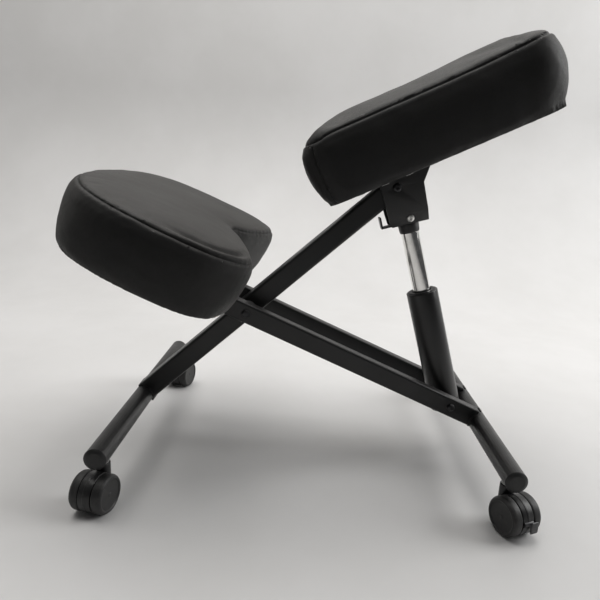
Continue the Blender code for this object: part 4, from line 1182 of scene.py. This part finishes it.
def hood(tag, root, brake):
    """Fork body between the two wheels: a rounded disc with a neck round the stem."""
    R, H = 0.0268, 0.0089
    ob = lathe("fork_" + tag, [(0, H), (R - 0.0005, H, 0.0009), (R - 0.0005, 0.0019, 0.0002), (R, 0.0013, 0.0003), (R, -0.0013, 0.0003),
                               (R - 0.0005, -0.0019, 0.0002), (R - 0.0005, -H, 0.0009), (0, -H)],
               Matrix.Translation((-0.020, 0, WR)) @ Matrix.Rotation(pi / 2, 4, 'X'), M_NYLON, None, 112)
    neck = lathe("neck_tool", [(0, NECK_TOP), (0.0094, NECK_TOP, 0.0010), (0.0094, 0.034), (0, 0.034)], Matrix.Identity(4), M_NYLON, None, 64)
    cut_with(ob, neck, 'UNION')
    bore = lathe("bore_tool", [(0, NECK_TOP + 0.01), (0.0058, NECK_TOP + 0.01), (0.0058, NECK_TOP - 0.0155), (0, NECK_TOP - 0.0155)],
                 Matrix.Identity(4), M_NYLON, None, 32)
    cut_with(ob, bore)
    tool = from_arrays("cut_tool", [(x, y, z) for z in (-0.02, 0.0055) for x, y in ((-0.07, -0.03), (0.03, -0.03), (0.03, 0.03), (-0.07, 0.03))],
                       [(3, 2, 1, 0), (4, 5, 6, 7), (0, 1, 5, 4), (1, 2, 6, 5), (2, 3, 7, 6), (3, 0, 4, 7)])
    SCENE.collection.objects.link(tool)
    cut_with(ob, tool)
    if brake:
        bx, bz = -0.020 - 0.0250 * cos(radians(-4)), WR - 0.0250 * sin(radians(-4))
        bore = lathe("brake_bore_tool", [(0, 0.02), (0.0038, 0.02), (0.0038, -0.02), (0, -0.02)],
                     Matrix.Translation((bx, 0, bz)) @ Matrix.Rotation(pi / 2, 4, 'X'), M_NYLON, None, 32)
        cut_with(ob, bore)
    ob.data.transform(root)
    give(ob, M_NYLON)
    ob.data.shade_smooth()
    ob.data.set_sharp_from_angle(angle=radians(30))
    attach(ob, "swivel_" + tag)
    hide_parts("hood_" + tag)
    return ob


for tag, (x, sy, turn) in CASTERS.items():
    root = Matrix.Translation((x, sy * 0.197, 0)) @ Matrix.Rotation(radians(turn), 4, 'Z')
    axle = root @ Matrix.Translation((-0.020, 0, WR))
    for name, side in (("wheel_left_", 1), ("wheel_right_", -1)):
        ob = lathe(name + tag + "_tyre", WHEEL_PROFILE, axle @ Matrix.Rotation(-side * pi / 2, 4, 'X'), M_TREAD, name + tag, 112, smooth=24)
        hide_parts(name + tag)
    brake = tag.startswith("rear")
    hood(tag, root, brake)
    if brake:
        bx, bz = -0.020 - 0.0250 * cos(radians(-4)), WR - 0.0250 * sin(radians(-4))
        bar = lathe("brake_bar_" + tag, [(0, 0.0075), (0.0034, 0.0075, 0.0006), (0.0034, -0.0075, 0.0006), (0, -0.0075)],
                    Matrix.Translation((bx, 0, bz)) @ Matrix.Rotation(pi / 2, 4, 'X'), M_PEDAL, None, 40)
        # tongue with three low grip ridges
        nx, ny = 26, 20
        co, faces = [], []
        for face in (1, -1):
            for i in range(nx + 1):
                for j in range(ny + 1):
                    u, v = i / nx * 2 - 1, j / ny * 2 - 1
                    cu = abs(u) ** 5 + abs(v) ** 6
                    hx = 0.0080 * u
                    hy = 0.00625 * v
                    edge = max(0.0, 1 - cu) ** 0.30
                    rid = -0.00030 * max(0.0, sin(u * 11.0 + 2.2)) ** 4 * (u < 0.35) * (abs(v) < 0.82) if face > 0 else 0
                    co.append((hx, hy, face * (0.0016 * edge) + rid * edge))
        stride = ny + 1
        for f_ in range(2):
            base = f_ * (nx + 1) * stride
            for i in range(nx):
                for j in range(ny):
                    q = (base + i * stride + j, base + (i + 1) * stride + j, base + (i + 1) * stride + j + 1, base + i * stride + j + 1)
                    faces.append(q if f_ == 0 else tuple(reversed(q)))
        tong = from_arrays("tongue_tool", co, faces,
                           Matrix.Translation((-0.020 - 0.02926, -0.0070, WR - 0.00339)) @ Matrix.Rotation(radians(1.7 - 90), 4, 'Y'))
        SCENE.collection.objects.link(tong)
        bm = bmesh.new()
        bm.from_mesh(tong.data)
        bmesh.ops.remove_doubles(bm, verts=bm.verts, dist=1e-6)
        bmesh.ops.recalc_face_normals(bm, faces=bm.faces)
        bm.to_mesh(tong.data)
        bm.free()
        cut_with(bar, tong, 'UNION')
        bar.data.transform(root)
        give(bar, M_PEDAL)
        bar.data.shade_smooth()
        bar.data.set_sharp_from_angle(angle=radians(40))
        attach(bar, "brake_" + tag)
        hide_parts("brake_pedal_" + tag)

# ------------------------------------------------- nuts, lever and its grip
for node in [n_ for n_ in NODE if n_.endswith("_nut")]:
    softened(node, node + "_eased", 0.0003, M_BOLT, body_of(NODE[node])[0], 2)
LEVER_S = 0.3290
path = [(0, -0.0045, LEVER_S), (0, 0.030, LEVER_S), (0, 0.046, LEVER_S - 0.001), (0.001, 0.060, LEVER_S - 0.005),
        (0.002, 0.078, LEVER_S - 0.011), (0.0025, 0.094, LEVER_S - 0.014), (0.0025, 0.124, LEVER_S - 0.0150),
        (0.0025, 0.172, LEVER_S - 0.0150)]
bar = sweep("lever_bar", [F_COL @ Vector(q) for q in catmull(path, 8, closed=False)], 0.0037, M_BOLT, "lever", 24, True, 50)
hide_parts("release_lever")
softened("lever_grip", "lever_grip_eased", 0.0012, M_NYLON, "lever", 3)

# ------------------------------------------------------- camera and lights
cam_data = bpy.data.cameras.new("camera")
cam = bpy.data.objects.new("camera", cam_data)
SCENE.collection.objects.link(cam)
cam.matrix_world = Matrix(((0.998335, -0.056942, -0.009222, 0.012097), (0.004476, 0.235866, -0.971775, -0.853423),
                           (0.05751, 0.970116, 0.235728, 0.461503), (0, 0, 0, 1)))
cam_data.lens = 32.4016
cam_data.sensor_width = 36
cam_data.shift_x = -0.020042
cam_data.shift_y = -0.001864
cam_data.clip_start = 0.01
SCENE.camera = cam

SCENE.view_settings.view_transform = 'Standard'
SCENE.view_settings.look = 'None'
world = bpy.data.worlds.new("studio")
world.use_nodes = True
world.node_tree.nodes["Background"].inputs[0].default_value = (0.86, 0.87, 0.90, 1)
world.node_tree.nodes["Background"].inputs[1].default_value = 0.07
SCENE.world = world


def area(name, loc, target, size, power, colour=(1, 1, 1)):
    d = bpy.data.lights.new(name, 'AREA')
    d.shape = 'RECTANGLE'
    d.size, d.size_y = size
    d.energy = power
    d.color = colour
    o = bpy.data.objects.new(name, d)
    SCENE.collection.objects.link(o)
    o.location = loc
    o.rotation_euler = (Vector(target) - Vector(loc)).to_track_quat('-Z', 'Y').to_euler()
    return o


area("window", (2.7, 0.25, 1.7), (0, 0.2, 0.3), (1.6, 1.8), 58, (1.0, 1.0, 0.99))
area("ceiling", (-0.2, 0.6, 2.9), (0, 0.25, 0.0), (3.2, 2.2), 88, (1.0, 0.985, 0.96))
area("left_fill", (-2.6, 0.35, 1.2), (0, 0, 0.35), (1.5, 1.5), 5, (1.0, 0.97, 0.92))

# floor and wall: one sheet with a wide curve between them
bm = bmesh.new()
prof = [(-3.2, 0.0), (-1.6, 0.0), (0.0, 0.0), (0.75, 0.0)]
for i in range(17):
    a = pi / 2 * i / 16
    prof.append((0.80 + 0.75 * sin(a), 0.75 - 0.75 * cos(a)))
prof += [(1.55, 1.5), (1.55, 3.4)]
rows = [[bm.verts.new((x, y, z)) for x in (-1.7, -0.9, 0.0, 2.0, 6.0)] for y, z in prof]
for r0, r1 in zip(rows, rows[1:]):
    for k in range(4):
        bm.faces.new((r0[k], r0[k + 1], r1[k + 1], r1[k]))
me = bpy.data.meshes.new("floor")
bm.to_mesh(me)
bm.free()
me.shade_smooth()
floor = bpy.data.objects.new("floor", me)
SCENE.collection.objects.link(floor)
n = Nodes("pale_floor")
n.set(Base_Color=n.mix(n.ramp(n.noise(3, 4, 0.6), 0.3, 0.7), (0.615, 0.610, 0.605), (0.655, 0.650, 0.648)),
      Roughness=n.ramp(n.noise(9, 3, 0.6), 0.3, 0.7, 0.50, 0.62))
give(floor, n.m)

bpy.context.view_layer.update()
